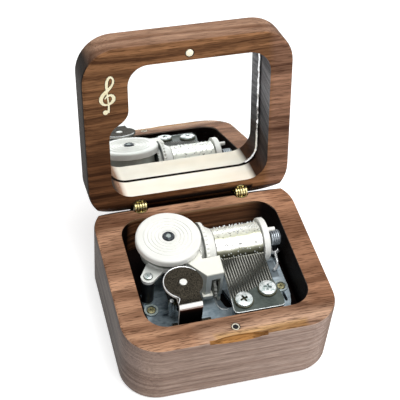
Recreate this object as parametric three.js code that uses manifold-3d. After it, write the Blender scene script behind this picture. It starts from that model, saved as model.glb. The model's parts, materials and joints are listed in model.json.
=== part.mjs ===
// Wooden music box: a walnut case with a mirror lid, and an eighteen-note movement inside.
// Millimetres, +Z up. The origin is the centre of the underside, and -Y is the front.

import * as THREE from 'three';
import { mergeVertices } from 'three/addons/utils/BufferGeometryUtils.js';
import Module from 'manifold-3d';

const wasm = await Module();
wasm.setup();

// Clearances
const gap = 0.3; // between pieces that pass through, or turn beside, one another
const seat = 0.1; // under a piece that rests flat on another
const overrun = 1; // how far a cutting shape runs past the face it cuts
const overlap = 0.2; // how far two joined shapes run into each other

// Sides of the round shapes, from the largest to the smallest
const sidesLarge = 32;
const sidesMedium = 24;
const sidesSmall = 16;
const sidesTiny = 10;

// Gear train: crown wheel, cylinder wheels, idler, worm wheel and worm
const crownTeeth = 50;
const driveTeeth = 40;
const crownRadius = 10.85;
const driveFace = 0.5;
const mainTeeth = 38;
const idlerTeeth = 19;
const mainRadius = 9.7;
const mainFace = 0.9;
const idlerFace = 1;
const wormWheelTeeth = 24;
const wormStarts = 2;
const wormWheelRadius = 6;
const wormWheelFace = 1;
const wormRadius = 1.4;
const wormTurns = 1.9;
const addendum = 0.25;
const tipShare = 0.25; // tooth width at the tip, of the tooth pitch
const rootShare = 0.34; // tooth width at the root, of the tooth pitch
const threadShare = 0.25; // worm thread thickness, of the tooth pitch
const driveRadius = crownRadius * driveTeeth / crownTeeth;
const idlerRadius = mainRadius * idlerTeeth / mainTeeth;
const wormPitch = 2 * Math.PI * wormWheelRadius / wormWheelTeeth;

// Spring motor
const capOverhang = 1.15;
const capRimThickness = 0.35;
const capThickness = 1.3;
const drumHeight = 7.3;
const drumWall = 1;
const drumFloor = 1.5;
const arborRadius = 2;
const arborStand = 0.5; // the arbor's end above the cap
const springThickness = 0.3;
const springWidth = 2.6;
const springTurns = 5;
const clutchTurns = 2.2;
const clutchHeight = 1.8;
const clutchWire = 0.4;
const bossWall = 0.8;
const earRadius = 2.6;
const frontEarStand = 4.7; // from the drum's side to the ear's centre
const frontEarAngle = -131.6;
const rearEarStand = 3.1;
const rearEarAngle = 58.7;
const earWebShare = 0.34; // half the web's width at the drum, of the drum's radius
const earPostRadius = 2.3;
const earScrewRadius = 1.7;
const capRadius = crownRadius + capOverhang;
const crownInner = crownRadius - driveFace;
const drumRadius = crownInner - gap / 2;

// Pinned cylinder, along X
const cylinderRise = 10.5; // its axis above the bedplate
const shroudStand = 0.5; // beyond the main gear's pitch circle
const shroudThickness = 0.4;
const shroudGap = 0.4;
const hubRadius = 7;
const coneDrop = 0.7; // within the main gear's pitch circle
const coneLip = 0.2; // the cone's small end beyond the sleeve
const coneLength = 3.15;
const sleeveRadius = 7;
const sleeveWall = 0.6;
const sleeveLength = 17.85;
const pinHeight = 0.4;
const pinWidth = 0.45;
const pinRows = 2;
const flangeRadius = 8.36;
const flangeThickness = 2.4;
const pegRadius = 0.8;
const pegOffset = 5.4;
const pegLength = 3.2;
const pegAngle = 92;
const shaftRadius = 1;
const journalRadius = 0.6;
const journalLength = 2;
const journalInset = 2.4; // from the drive wheel to the left bearing
const bushingRadius = 2.9;
const bushingLength = 3.6;
const bushingOffset = 2; // from the flange to the bushing
const bushingFootWidth = 1.6;
const bushingFootReach = 8;

// Comb
const toothCount = 18;
const combThickness = 1.5;
const combRise = 12.5; // its upper face above the bedplate
const tipGapShare = 0.093; // tip circle beyond the sleeve, of the sleeve's radius
const toothPitch = 0.915;
const toothWidth = 0.6;
const combInset = 1.6; // from the sleeve's end to the first tooth
const combDepth = 25;
const combRootSpread = 0.98; // spacing of the tooth roots
const combLeftPlain = 6.4; // from the comb's front to the root of the first tooth
const combRightPlain = 12.1; // from the comb's front to the root of the last tooth
const combShift = 1.55; // how far the first root lies left of its tip
const combScrewRadius = 3.5;
const combScrewShank = 1.5;

// Governor
const discRadius = 7;
const bracketThickness = 1;
const bracketWidth = 8.3;
const bracketReach = 10.8;
const bracketRise = 20.7; // its upper face above the bedplate
const bendRadius = 1.4;
const footLength = 7.6;
const footWidth = 6.2;
const idlerDrop = 3.7; // idler axis below the cylinder axis
const idlerShaftRadius = 0.8;
const pivotRadius = 0.45;
const wormCore = 0.8;
const wingRadius = 5.6;
const wingHeight = 2.8;
const wingThickness = 0.5;
const wingHub = 1.8;
const wingDrop = 1.8; // below the bracket
const bearingRadius = 1.35;
const bearingStand = 0.2;
const postRadius = 1.1;
const postHeight = 9;
const postX = -3.1;
const postY = 2;

// Gear cover
const coverRise = 17.1; // its upper face above the bedplate
const coverRoof = 2;
const coverWall = 1;
const coverDepth = 12.4;
const coverReach = 3.65; // in front of the idler's axis
const windowTop = 1.2;
const shelfHeight = 1.5;
const shelfReach = 1;
const lobeReach = 5; // how far the roof runs back between the drum and the drive wheel

// Bedplate
const plateThickness = 2;
const plateTuck = 0.2; // how far the cap's rim overhangs the plate's left edge
const plateFrontMargin = 1.65; // in front of the governor's bracket
const combFrontMargin = 1.25; // in front of the comb
const plateRearMargin = 13.5;
const plateSetback = 0.2;
const plateScrewRadius = 1.6;
const plateRing = 0.7;
const plateRingHeight = 0.8;
const plateScrewLength = 8;

// Case and lid
const leftWall = 9.3;
const rightWall = 8.5;
const frontWall = 9.9;
const rearWall = 10.1;
const leftRoom = 3.5;
const rightRoom = 1.8;
const frontRoom = 0.8;
const rearRoom = 2.58;
const cornerRadius = 13.5;
const cavityCorner = 8;
const cavityDepth = 16.8;
const pocketRadius = 14.5;
const pocketDepth = 8.4;
const pocketWeb = 3.2;
const edgeRound = 1;
const chamferWidth = 5.8;
const notchWidth = 19.7;
const notchReach = 1.8;
const notchDrop = 1.8;
const magnetRadius = 1.4;
const magnetLength = 3;
const magnetInset = 5.1;
const lidThickness = 13.5;
const lidOpenAngle = 103.9;
const rimGap = 0.4;
const openingLeftWall = 8.9;
const openingRightWall = 8.65;
const openingFrontWall = 7.8;
const openingRearWall = 9.5;
const openingCorner = 8.2;
const stepWidth = 7.5;
const stepCorner = 7.7;
const mirrorDepth = 10.9;
const mirrorThickness = 1;
const mirrorGap = 0.45;
const clefHeight = 15.3;
const clefThickness = 0.4;
const clefGap = 0.2;
const clefLeft = 9; // from the lid's left side to the clef's middle
const clefFront = 17.75; // from the lid's front to the clef's middle

// Hinges
const hingeSpacing = 39.6;
const hingeInset = 4.52; // from the rear face to the pivot
const barrelRadius = 2.9;
const barrelLength = 10;
const leafRadius = 2.1;
const leafThickness = 0.66;
const leafCount = 5;
const hingePinRadius = 0.5;

// Key
const keyHub = 3;
const keyLength = 7.3;
const keySpan = 21;
const keyThickness = 1.6;

// Where the pieces lie, worked out from the sizes above
const idlerBack = Math.sqrt((mainRadius + idlerRadius) ** 2 - idlerDrop ** 2);
const wormBack = wormWheelRadius + wormRadius;
const shroudStart = capRadius + shroudGap;
const mainStart = shroudStart + shroudThickness;
const coneStart = mainStart + mainFace;
const sleeveStart = coneStart + coneLength + gap;
const flangeStart = sleeveStart + sleeveLength + gap;
const flangeEnd = flangeStart + flangeThickness;
const bushingStart = flangeEnd + bushingOffset;
const plateLeftMargin = capRadius - plateTuck;
const plateWidth = plateLeftMargin + bushingStart + bushingLength - plateSetback;
const combTipReach = sleeveRadius * (1 + tipGapShare);
const governorRoom = plateFrontMargin + bracketReach + wormBack + idlerBack;
const combRoom = combFrontMargin + combDepth + combTipReach;
const plateDepth = Math.max(governorRoom, combRoom) + plateRearMargin;
const caseWidth = leftWall + leftRoom + plateWidth + rightRoom + rightWall;
const caseDepth = frontWall + frontRoom + plateDepth + rearRoom + rearWall;
const caseHeight = pocketDepth + pocketWeb + cavityDepth;
const plateLeft = leftWall + leftRoom - caseWidth / 2;
const plateFront = frontWall + frontRoom - caseDepth / 2;
const cavityFloor = pocketDepth + pocketWeb;
const plateTop = cavityFloor + gap + plateThickness;
const drumX = plateLeft + plateLeftMargin;
const axisY = plateFront + plateDepth - plateRearMargin;
const axisZ = plateTop + cylinderRise;
const idlerY = axisY - idlerBack;
const idlerZ = axisZ - idlerDrop;
const governorY = idlerY - wormBack;
const crownBottom = axisZ + driveRadius - addendum;
const capBottom = axisZ + driveRadius + addendum + gap;
const capTop = capBottom + capThickness;
const drumTop = capBottom - gap;
const drumBottom = drumTop - drumHeight;
const combTop = plateTop + combRise;
const combBottom = combTop - combThickness;
const bracketTop = plateTop + bracketRise;
const coverTop = plateTop + coverRise;
const pivotY = caseDepth / 2 - hingeInset;
const pivotZ = caseHeight + rimGap / 2;
const lidFace = caseHeight + rimGap;

// Materials
const walnut = material(0x9a6f50, 0.55, 0);
const brass = material(0xc9a25a, 0.3, 0.9);
const steel = material(0xb9bcc0, 0.3, 0.9);
const darkSteel = material(0x4a4642, 0.45, 0.8);
const zinc = material(0x8f9aa6, 0.4, 0.8);
const combSteel = material(0x6b6e6a, 0.35, 0.9);
const nickel = material(0xcfc9b0, 0.2, 1);
const whitePlastic = material(0xe6e8e2, 0.5, 0);
const greyPlastic = material(0x8a8c88, 0.5, 0);
const mirrorGlass = material(0xe8edef, 0.03, 1);
const springSteel = material(0x5d6676, 0.3, 0.9);
const magnetMetal = material(0x55565a, 0.3, 0.9);

const musicBox = new THREE.Group();
const lid = new THREE.Group();
const cylinder = new THREE.Group();
const idler = new THREE.Group();
const governor = new THREE.Group();
const greatWheel = new THREE.Group();
const winding = new THREE.Group();
lid.position.set(0, pivotY, pivotZ);
lid.rotation.x = -THREE.MathUtils.degToRad(lidOpenAngle);
cylinder.position.set(drumX, axisY, axisZ);
idler.position.set(drumX, idlerY, idlerZ);
governor.position.set(drumX, governorY, idlerZ);
greatWheel.position.set(drumX, axisY, capBottom);
winding.position.set(drumX, axisY, 0);
musicBox.add(lid, cylinder, idler, governor, greatWheel, winding);

addCase();
addHinges();
addLid();
addBedplate();
addSpringMotor();
addGreatWheel();
addWinding();
addCylinder();
addCylinderBearing();
addComb();
addIdler();
addGovernor();
addGovernorBracket();
addGearCover();

export default musicBox;

// Case: a solid block hollowed from above, with a pocket below for the key.
function addCase() {
  let body = woodBlock(0, caseHeight);
  body = body.subtract(rearChamfer(caseHeight, 1));
  const cavity = roundedRect(
    leftWall - caseWidth / 2,
    caseWidth / 2 - rightWall,
    frontWall - caseDepth / 2,
    caseDepth / 2 - rearWall,
    cavityCorner,
  );
  body = body.subtract(prism(cavity, cavityFloor, caseHeight + overrun));
  body = body.subtract(rodZ(pocketRadius, drumX, axisY, -overrun, pocketDepth, sidesLarge));
  body = body.subtract(rodZ(arborRadius + 2 * gap, drumX, axisY, 0, caseHeight, sidesSmall));
  for (const side of [-1, 1]) {
    const hole = rodZ(barrelRadius + gap, side * hingeSpacing / 2, pivotY,
      caseHeight - barrelLength - gap, caseHeight + overrun, sidesSmall);
    body = body.subtract(hole);
  }
  body = body.subtract(rodZ(magnetRadius + gap, 0, magnetInset - caseDepth / 2,
    caseHeight - magnetLength - gap, caseHeight + overrun, sidesSmall));
  for (const [x, y] of plateScrewPlaces()) {
    body = body.subtract(rodZ(plateScrewRadius / 2 + gap, x, y,
      plateTop - plateScrewLength - gap, caseHeight, sidesTiny));
  }
  const scoop = new THREE.SphereGeometry(1, sidesMedium, sidesTiny);
  scoop.scale(notchWidth / 2, notchReach, notchDrop);
  scoop.translate(0, -caseDepth / 2, caseHeight);
  body = body.subtract(solid(scoop));
  add('case_body', body, walnut);
  add('case_magnet', rodZ(magnetRadius, 0, magnetInset - caseDepth / 2,
    caseHeight - magnetLength, caseHeight, sidesSmall), magnetMetal);
}

// A block of the case's outline with its edges rounded.
function woodBlock(bottom, top) {
  const outline = roundedRect(
    edgeRound - caseWidth / 2,
    caseWidth / 2 - edgeRound,
    edgeRound - caseDepth / 2,
    caseDepth / 2 - edgeRound,
    cornerRadius - edgeRound,
  );
  const block = new THREE.ExtrudeGeometry(outline, {
    depth: top - bottom - 2 * edgeRound,
    bevelThickness: edgeRound,
    bevelSize: edgeRound,
    bevelSegments: 2,
    curveSegments: 6,
  });
  block.translate(0, 0, bottom + edgeRound);
  return solid(block);
}

// The 45 degree cut along the rear edge of a face at height z; up is 1 where the cut is above it.
function rearChamfer(z, up) {
  const rear = caseDepth / 2;
  const wedge = [
    [rear - chamferWidth - overrun, z + up * overrun],
    [rear + overrun, z - up * (chamferWidth + overrun)],
    [rear + overrun, z + up * overrun],
  ];
  return prismX(up > 0 ? wedge : wedge.reverse(), -caseWidth / 2 - overrun, caseWidth / 2 + overrun);
}

// Barrel hinges: a barrel in the case and one in the lid, with interleaved leaves on one pin.
function addHinges() {
  const leafSpan = leafCount * leafThickness + (leafCount - 1) * gap;
  for (const [name, side] of [['left', -1], ['right', 1]]) {
    const x = side * hingeSpacing / 2;
    const leafStart = i => x - leafSpan / 2 + i * (leafThickness + gap);
    for (const [owner, up, first] of [['case', 1, 0], ['lid', -1, 1]]) {
      const face = up > 0 ? caseHeight : lidFace;
      let barrel = rodZ(barrelRadius, x, pivotY,
        Math.min(face, face - up * barrelLength), Math.max(face, face - up * barrelLength), sidesSmall);
      barrel = barrel.subtract(rearChamfer(face, up));
      for (let i = 1 - first; i < leafCount; i += 2) {
        barrel = barrel.subtract(rodX(leafRadius + gap, pivotY, pivotZ,
          leafStart(i) - gap, leafStart(i) + leafThickness + gap, sidesSmall));
      }
      for (let i = first; i < leafCount; i += 2) {
        barrel = barrel.add(hingeLeaf(x, leafStart(i), up));
      }
      barrel = barrel.subtract(rodX(hingePinRadius + gap / 2, pivotY, pivotZ,
        x - barrelRadius, x + barrelRadius, sidesTiny));
      if (owner === 'case') {
        add(`${name}_case_barrel`, barrel, brass);
      } else {
        add(`${name}_lid_barrel`, barrel.translate([0, -pivotY, -pivotZ]), brass, lid);
      }
    }
    add(`${name}_hinge_pin`, rodX(hingePinRadius, pivotY, pivotZ,
      x - leafSpan / 2, x + leafSpan / 2, sidesTiny), brass);
  }
}

// One leaf: a disc about the pivot with a neck into its own barrel, no wider than the barrel.
function hingeLeaf(x, start, up) {
  const neck = pivotZ - up * (leafRadius + chamferWidth / 2);
  const leaf = rodX(leafRadius, pivotY, pivotZ, start, start + leafThickness, sidesSmall)
    .add(box(start, start + leafThickness, pivotY - leafRadius, pivotY + leafRadius / 2,
      Math.min(neck, pivotZ), Math.max(neck, pivotZ)));
  const reach = barrelLength / 2;
  return leaf.intersect(rodZ(barrelRadius, x, pivotY, pivotZ - reach, pivotZ + reach, sidesSmall));
}

// Lid, drawn closed about the hinge pivot and then swung open by its group.
function addLid() {
  const rear = caseDepth / 2;
  const side = caseWidth / 2;
  const atPivot = shape => shape.translate([0, -pivotY, -pivotZ]);
  const recessDepth = mirrorDepth + mirrorThickness + gap;
  let frame = woodBlock(lidFace, lidFace + lidThickness);
  frame = frame.subtract(rearChamfer(lidFace, -1));
  frame = frame.subtract(prism(lidOpening(0), lidFace - overrun, lidFace + recessDepth));
  for (const turn of [-1, 1]) {
    frame = frame.subtract(rodZ(barrelRadius + gap, turn * hingeSpacing / 2, pivotY,
      lidFace - overrun, lidFace + barrelLength + gap, sidesSmall));
  }
  frame = frame.subtract(rodZ(magnetRadius + gap, 0, magnetInset - rear,
    lidFace - overrun, lidFace + magnetLength + gap, sidesSmall));
  const clefX = clefLeft - side;
  const clefY = clefFront - rear;
  frame = frame.subtract(trebleClef(clefGap, lidFace - overrun, lidFace + clefThickness + gap)
    .translate([clefX, clefY, 0]));
  add('lid_frame', atPivot(frame), walnut, lid);
  add('lid_mirror', atPivot(prism(lidOpening(mirrorGap), lidFace + mirrorDepth,
    lidFace + mirrorDepth + mirrorThickness)), mirrorGlass, lid);
  add('treble_clef', atPivot(trebleClef(0, lidFace, lidFace + clefThickness)
    .translate([clefX, clefY, 0])), brass, lid);
  add('lid_magnet', atPivot(rodZ(magnetRadius, 0, magnetInset - rear,
    lidFace, lidFace + magnetLength, sidesSmall)), magnetMetal, lid);
}

// Outline of the lid's opening, drawn in by a margin, with the step that leaves room for the clef.
function lidOpening(margin) {
  const left = openingLeftWall - caseWidth / 2 + margin;
  const right = caseWidth / 2 - openingRightWall - margin;
  const front = openingFrontWall - caseDepth / 2 + margin;
  const rear = caseDepth / 2 - openingRearWall - margin;
  const step = left + stepWidth;
  const corner = openingCorner - margin;
  const inner = stepCorner - margin;
  const shape = new THREE.Shape();
  shape.moveTo(step + inner, front);
  shape.lineTo(right - corner, front);
  shape.absarc(right - corner, front + corner, corner, -Math.PI / 2, 0);
  shape.lineTo(right, rear - corner);
  shape.absarc(right - corner, rear - corner, corner, 0, Math.PI / 2);
  shape.lineTo(left + corner, rear);
  shape.absarc(left + corner, rear - corner, corner, Math.PI / 2, Math.PI);
  shape.lineTo(left, front + 3.8 * stepWidth);
  shape.bezierCurveTo(
    left, front + 3.24 * stepWidth,
    left + 0.33 * stepWidth, front + 3.1 * stepWidth,
    left + 0.55 * stepWidth, front + 2.96 * stepWidth,
  );
  shape.bezierCurveTo(
    left + 0.81 * stepWidth, front + 2.77 * stepWidth,
    step, front + 2.58 * stepWidth,
    step, front + 2.22 * stepWidth,
  );
  shape.lineTo(step, front + inner);
  shape.absarc(step + inner, front + inner, inner, Math.PI, 1.5 * Math.PI);
  return shape;
}

// Treble clef as strokes of changing width, swollen by a margin; its top points to the front.
function trebleClef(margin, z0, z1) {
  // x, y and half the stroke's width, of the clef's height
  const stemShares = [
    [0.001, -0.442, 0.03], [0.021, -0.338, 0.022], [0.023, -0.234, 0.02], [0.012, -0.13, 0.017],
    [0.006, -0.036, 0.017], [-0.002, 0.047, 0.018], [-0.006, 0.13, 0.022], [-0.008, 0.223, 0.03],
    [0.001, 0.327, 0.034], [0.027, 0.41, 0.03], [0.08, 0.463, 0.024],
  ];
  const bowlShares = [
    [0.027, 0.41, 0.026], [0.08, 0.466, 0.026], [0.134, 0.426, 0.022], [0.156, 0.348, 0.024],
    [0.131, 0.27, 0.024], [0.076, 0.192, 0.03], [0.001, 0.12, 0.038], [-0.083, 0.042, 0.042],
    [-0.144, -0.047, 0.045], [-0.152, -0.13, 0.042], [-0.114, -0.203, 0.032],
    [-0.045, -0.236, 0.022], [0.026, -0.229, 0.022], [0.094, -0.192, 0.032],
    [0.145, -0.12, 0.042], [0.139, -0.042, 0.04], [0.089, 0, 0.03], [0.033, 0, 0.022],
    [-0.025, -0.036, 0.018], [-0.061, -0.083, 0.012],
  ];
  const ballShares = [-0.06, -0.431, 0.061];
  const stroke = (shares, steps) => {
    const points = shares.map(([x, y, half]) => new THREE.Vector3(
      x * clefHeight, -y * clefHeight, half * clefHeight + margin));
    const smooth = new THREE.CatmullRomCurve3(points, false, 'centripetal').getPoints(steps);
    return prism(ribbon(smooth.map(p => [p.x, p.y]), smooth.map(p => p.z)), z0, z1);
  };
  const [ballX, ballY, ballSize] = ballShares.map(share => share * clefHeight);
  return stroke(stemShares, 12)
    .add(stroke(bowlShares, 26))
    .add(rodZ(ballSize + margin, ballX, -ballY, z0, z1, sidesTiny));
}

// Bedplate: a cast plate with the posts and the block that carry the movement.
function addBedplate() {
  const at = (xShare, yShare) => [plateLeft + xShare * plateWidth, plateFront + yShare * plateDepth];
  const outline = new THREE.Shape();
  outline.moveTo(...at(0, 0.363));
  outline.quadraticCurveTo(...at(0, 0.153), ...at(0.204, 0));
  outline.lineTo(...at(0.84, 0));
  outline.quadraticCurveTo(...at(1, 0.163), ...at(1, 0.374));
  outline.lineTo(...at(1, 0.93));
  outline.quadraticCurveTo(...at(1, 1), ...at(0.94, 1));
  outline.lineTo(...at(0.26, 1));
  outline.lineTo(...at(0.13, 0.85));
  outline.lineTo(...at(0.12, 0.63));
  outline.lineTo(...at(0.085, 0.54));
  outline.lineTo(...at(0, 0.54));
  const bottom = plateTop - plateThickness;
  let plate = prism(outline, bottom, plateTop);
  for (const [x, y] of earPlaces()) {
    plate = plate.add(rodZ(earPostRadius, x, y, plateTop - overlap, drumBottom - seat, sidesSmall));
  }
  for (const [x, y] of plateScrewPlaces()) {
    plate = plate.add(rodZ(plateScrewRadius + plateRing + gap, x, y, bottom,
      plateTop + plateRingHeight, sidesSmall));
    plate = plate.subtract(rodZ(plateScrewRadius + gap, x, y, plateTop,
      plateTop + plateRingHeight + overrun, sidesSmall));
    plate = plate.subtract(rodZ(plateScrewRadius / 2 + gap, x, y, 0, plateTop + overrun, sidesTiny));
  }
  plate = plate.add(prism(combBlock(), plateTop - overlap, combBottom - seat));
  const bearing = leftBearing();
  plate = plate.add(box(bearing.x - journalLength, bearing.x, axisY - hubRadius / 3,
    axisY + hubRadius / 3, plateTop - overlap, drumBottom - gap));
  plate = plate.subtract(rodX(journalRadius + gap, axisY, axisZ,
    bearing.x - journalLength - overrun, bearing.x + overrun, sidesTiny));
  plate = plate.subtract(rodZ(arborRadius + gap, drumX, axisY, 0, plateTop + overrun, sidesSmall));
  plate = plate.subtract(rodZ(pivotRadius + gap, drumX, governorY, 0, plateTop + overrun, sidesTiny));
  const ovalWidth = 0.061 * plateWidth;
  plate = plate.subtract(slot(...at(0.526, 0.44), ...at(0.56, 0.31), ovalWidth / 2));
  plate = plate.subtract(slot(...at(0.952, 0.325), ...at(0.955, 0.26), ovalWidth / 6));
  for (const [x, y] of combScrewPlaces()) {
    plate = plate.subtract(rodZ(combScrewShank + gap, x, y,
      combBottom - combScrewRadius * 2, combTop, sidesTiny));
  }
  for (const [x, y] of earPlaces()) {
    plate = plate.subtract(rodZ(earScrewShank() + gap, x, y,
      drumBottom - earRadius * 2, drumTop, sidesTiny));
  }
  const [screwX, screwY] = bracketScrewPlace();
  plate = plate.subtract(rodZ(earScrewShank() + gap, screwX, screwY, 0, plateTop + overrun, sidesTiny));
  add('bedplate', plate, zinc);
  for (const [name, place] of [['left', 0], ['right', 1], ['rear', 2]]) {
    const [x, y] = plateScrewPlaces()[place];
    const head = screw(plateScrewRadius, plateRing, plateScrewRadius / 2, plateScrewLength);
    add(`mounting_screw_${name}`, head.translate([x, y, plateTop + plateRing + seat]), brass);
  }
}

function plateScrewPlaces() {
  return [
    [plateLeft + 0.04 * plateWidth, plateFront + 0.372 * plateDepth],
    [plateLeft + 0.951 * plateWidth, plateFront + 0.39 * plateDepth],
    [plateLeft + 0.6 * plateWidth, plateFront + 0.95 * plateDepth],
  ];
}

function earPlaces() {
  return [[frontEarStand, frontEarAngle], [rearEarStand, rearEarAngle]].map(([stand, degrees]) => {
    const reach = drumRadius + stand;
    const turn = THREE.MathUtils.degToRad(degrees);
    return [drumX + reach * Math.cos(turn), axisY + reach * Math.sin(turn)];
  });
}

function earScrewShank() {
  return earPostRadius / 2;
}

function leftBearing() {
  return { x: drumX + crownRadius - driveFace / 2 - journalInset };
}

// Spring housing with its two ears, and the mainspring wound inside.
function addSpringMotor() {
  const outer = rodZ(drumRadius, drumX, axisY, drumBottom, drumTop, sidesLarge);
  let housing = outer.subtract(rodZ(drumRadius - drumWall, drumX, axisY,
    drumBottom + drumFloor, drumTop + overrun, sidesLarge));
  const webHalf = earWebShare * drumRadius;
  for (const [x, y] of earPlaces()) {
    const reach = Math.hypot(x - drumX, y - axisY);
    const [ux, uy] = [(x - drumX) / reach, (y - axisY) / reach];
    const start = Math.sqrt(drumRadius ** 2 - webHalf ** 2) - overlap;
    const web = polygon([
      [drumX + ux * start + uy * webHalf, axisY + uy * start - ux * webHalf],
      [x + uy * earRadius, y - ux * earRadius],
      [x - uy * earRadius, y + ux * earRadius],
      [drumX + ux * start - uy * webHalf, axisY + uy * start + ux * webHalf],
    ]);
    housing = housing.add(prism(web, drumBottom, drumBottom + drumFloor));
    housing = housing.add(rodZ(earRadius, x, y, drumBottom, drumBottom + drumFloor, sidesMedium));
    housing = housing.subtract(rodZ(earScrewShank() + gap, x, y,
      drumBottom - overrun, drumTop, sidesTiny));
  }
  housing = housing.subtract(rodZ(arborRadius + gap, drumX, axisY,
    drumBottom - overrun, drumTop, sidesSmall));
  add('spring_housing', housing, whitePlastic);

  const inner = arborRadius + 3 * gap;
  const outerTurn = drumRadius - drumWall - gap - springThickness / 2;
  const steps = springTurns * sidesTiny;
  const spiral = [];
  for (let i = 0; i <= steps; i += 1) {
    const turn = 2 * Math.PI * springTurns * i / steps;
    const radius = inner + (outerTurn - inner) * i / steps;
    spiral.push([drumX + radius * Math.cos(turn), axisY + radius * Math.sin(turn)]);
  }
  const springBottom = drumBottom + drumFloor + gap;
  add('mainspring', prism(ribbon(spiral, spiral.map(() => springThickness / 2)),
    springBottom, springBottom + springWidth), springSteel);

  for (const [name, place] of [['housing_screw', 0], ['housing_screw_rear', 1]]) {
    const [x, y] = earPlaces()[place];
    const head = screw(earScrewRadius, drumFloor / 2, earScrewShank(), earRadius * 2);
    add(name, head.translate([x, y, drumBottom + drumFloor + drumFloor / 2 + seat]), steel);
  }
}

// Great wheel: the white cap with crown teeth below its rim, and the coil that clutches the arbor.
function addGreatWheel() {
  const rim = crownBottom - capBottom;
  const bossInner = arborRadius + 3 * gap + clutchWire;
  const bossOuter = bossInner + bossWall;
  const edge = capRimThickness;
  let cap = lathe([
    [arborRadius + gap, 0],
    [bossInner, 0],
    [bossInner, -clutchHeight],
    [bossOuter, -clutchHeight],
    [bossOuter, 0],
    [capRadius - edge, 0],
    [capRadius - edge, rim],
    [capRadius, rim],
    [capRadius, capThickness - edge],
    [capRadius - edge, capThickness],
    [arborRadius + gap, capThickness],
  ], sidesLarge);
  const pitch = 2 * Math.PI * crownRadius / crownTeeth;
  const half = pitch * (tipShare + rootShare) / 4;
  const teeth = [];
  for (let i = 0; i < crownTeeth; i += 1) {
    const tooth = box(crownInner + gap / 2, capRadius - edge + overlap, -half, half, rim, overlap);
    teeth.push(tooth.rotate([0, 0, (i + 0.5) * 360 / crownTeeth]));
  }
  cap = cap.add(wasm.Manifold.union(teeth));
  add('great_wheel', cap, whitePlastic, greatWheel);

  const coil = helix({
    inner: arborRadius + gap,
    outer: arborRadius + gap + clutchWire,
    thickness: clutchWire,
    lead: (clutchHeight - clutchWire) / clutchTurns,
    turns: clutchTurns,
    start: clutchWire / 2 + gap - clutchHeight - gap,
    phase: 0,
  });
  add('clutch_spring', coil, springSteel, greatWheel);
}

// Winding arbor through the case floor, with the butterfly key screwed to its lower end.
function addWinding() {
  const keyTop = pocketDepth - gap;
  const keyBottom = keyTop - keyLength;
  const bore = keyLength / 2;
  const arborTop = capTop + arborStand;
  const arbor = lathe([
    [0, keyTop - bore + gap],
    [arborRadius, keyTop - bore + gap],
    [arborRadius, arborTop - arborStand / 2],
    [arborRadius - arborStand / 2, arborTop],
    [0, arborTop],
  ], sidesSmall);
  add('winding_arbor', arbor, steel, winding);

  const wing = new THREE.Shape();
  const half = keySpan / 2;
  const wingRootShare = 0.22;
  wing.moveTo(0, keyBottom + keyLength * wingRootShare);
  const at = (reachShare, riseShare) => [half * reachShare, keyBottom + keyLength * riseShare];
  wing.bezierCurveTo(...at(0.35, 0), ...at(0.75, 0), ...at(0.88, 0.1));
  wing.bezierCurveTo(...at(1.04, 0.3), ...at(1.04, 0.6), ...at(0.82, 0.72));
  wing.bezierCurveTo(...at(0.6, 0.85), ...at(0.4, 0.7), ...at(0, 0.62));
  const points = wing.getPoints(6).map(p => [p.x, p.y]);
  const blade = prismX(points, -keyThickness / 2, keyThickness / 2);
  let key = rodZ(keyHub, 0, 0, keyBottom + keyLength / 4, keyTop, sidesMedium)
    .add(blade.rotate([0, 0, -90]))
    .add(blade.rotate([0, 0, 90]));
  key = key.subtract(rodZ(arborRadius + gap, 0, 0, keyTop - bore, keyTop + overrun, sidesSmall));
  add('winding_key', key, steel, winding);
}

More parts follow.
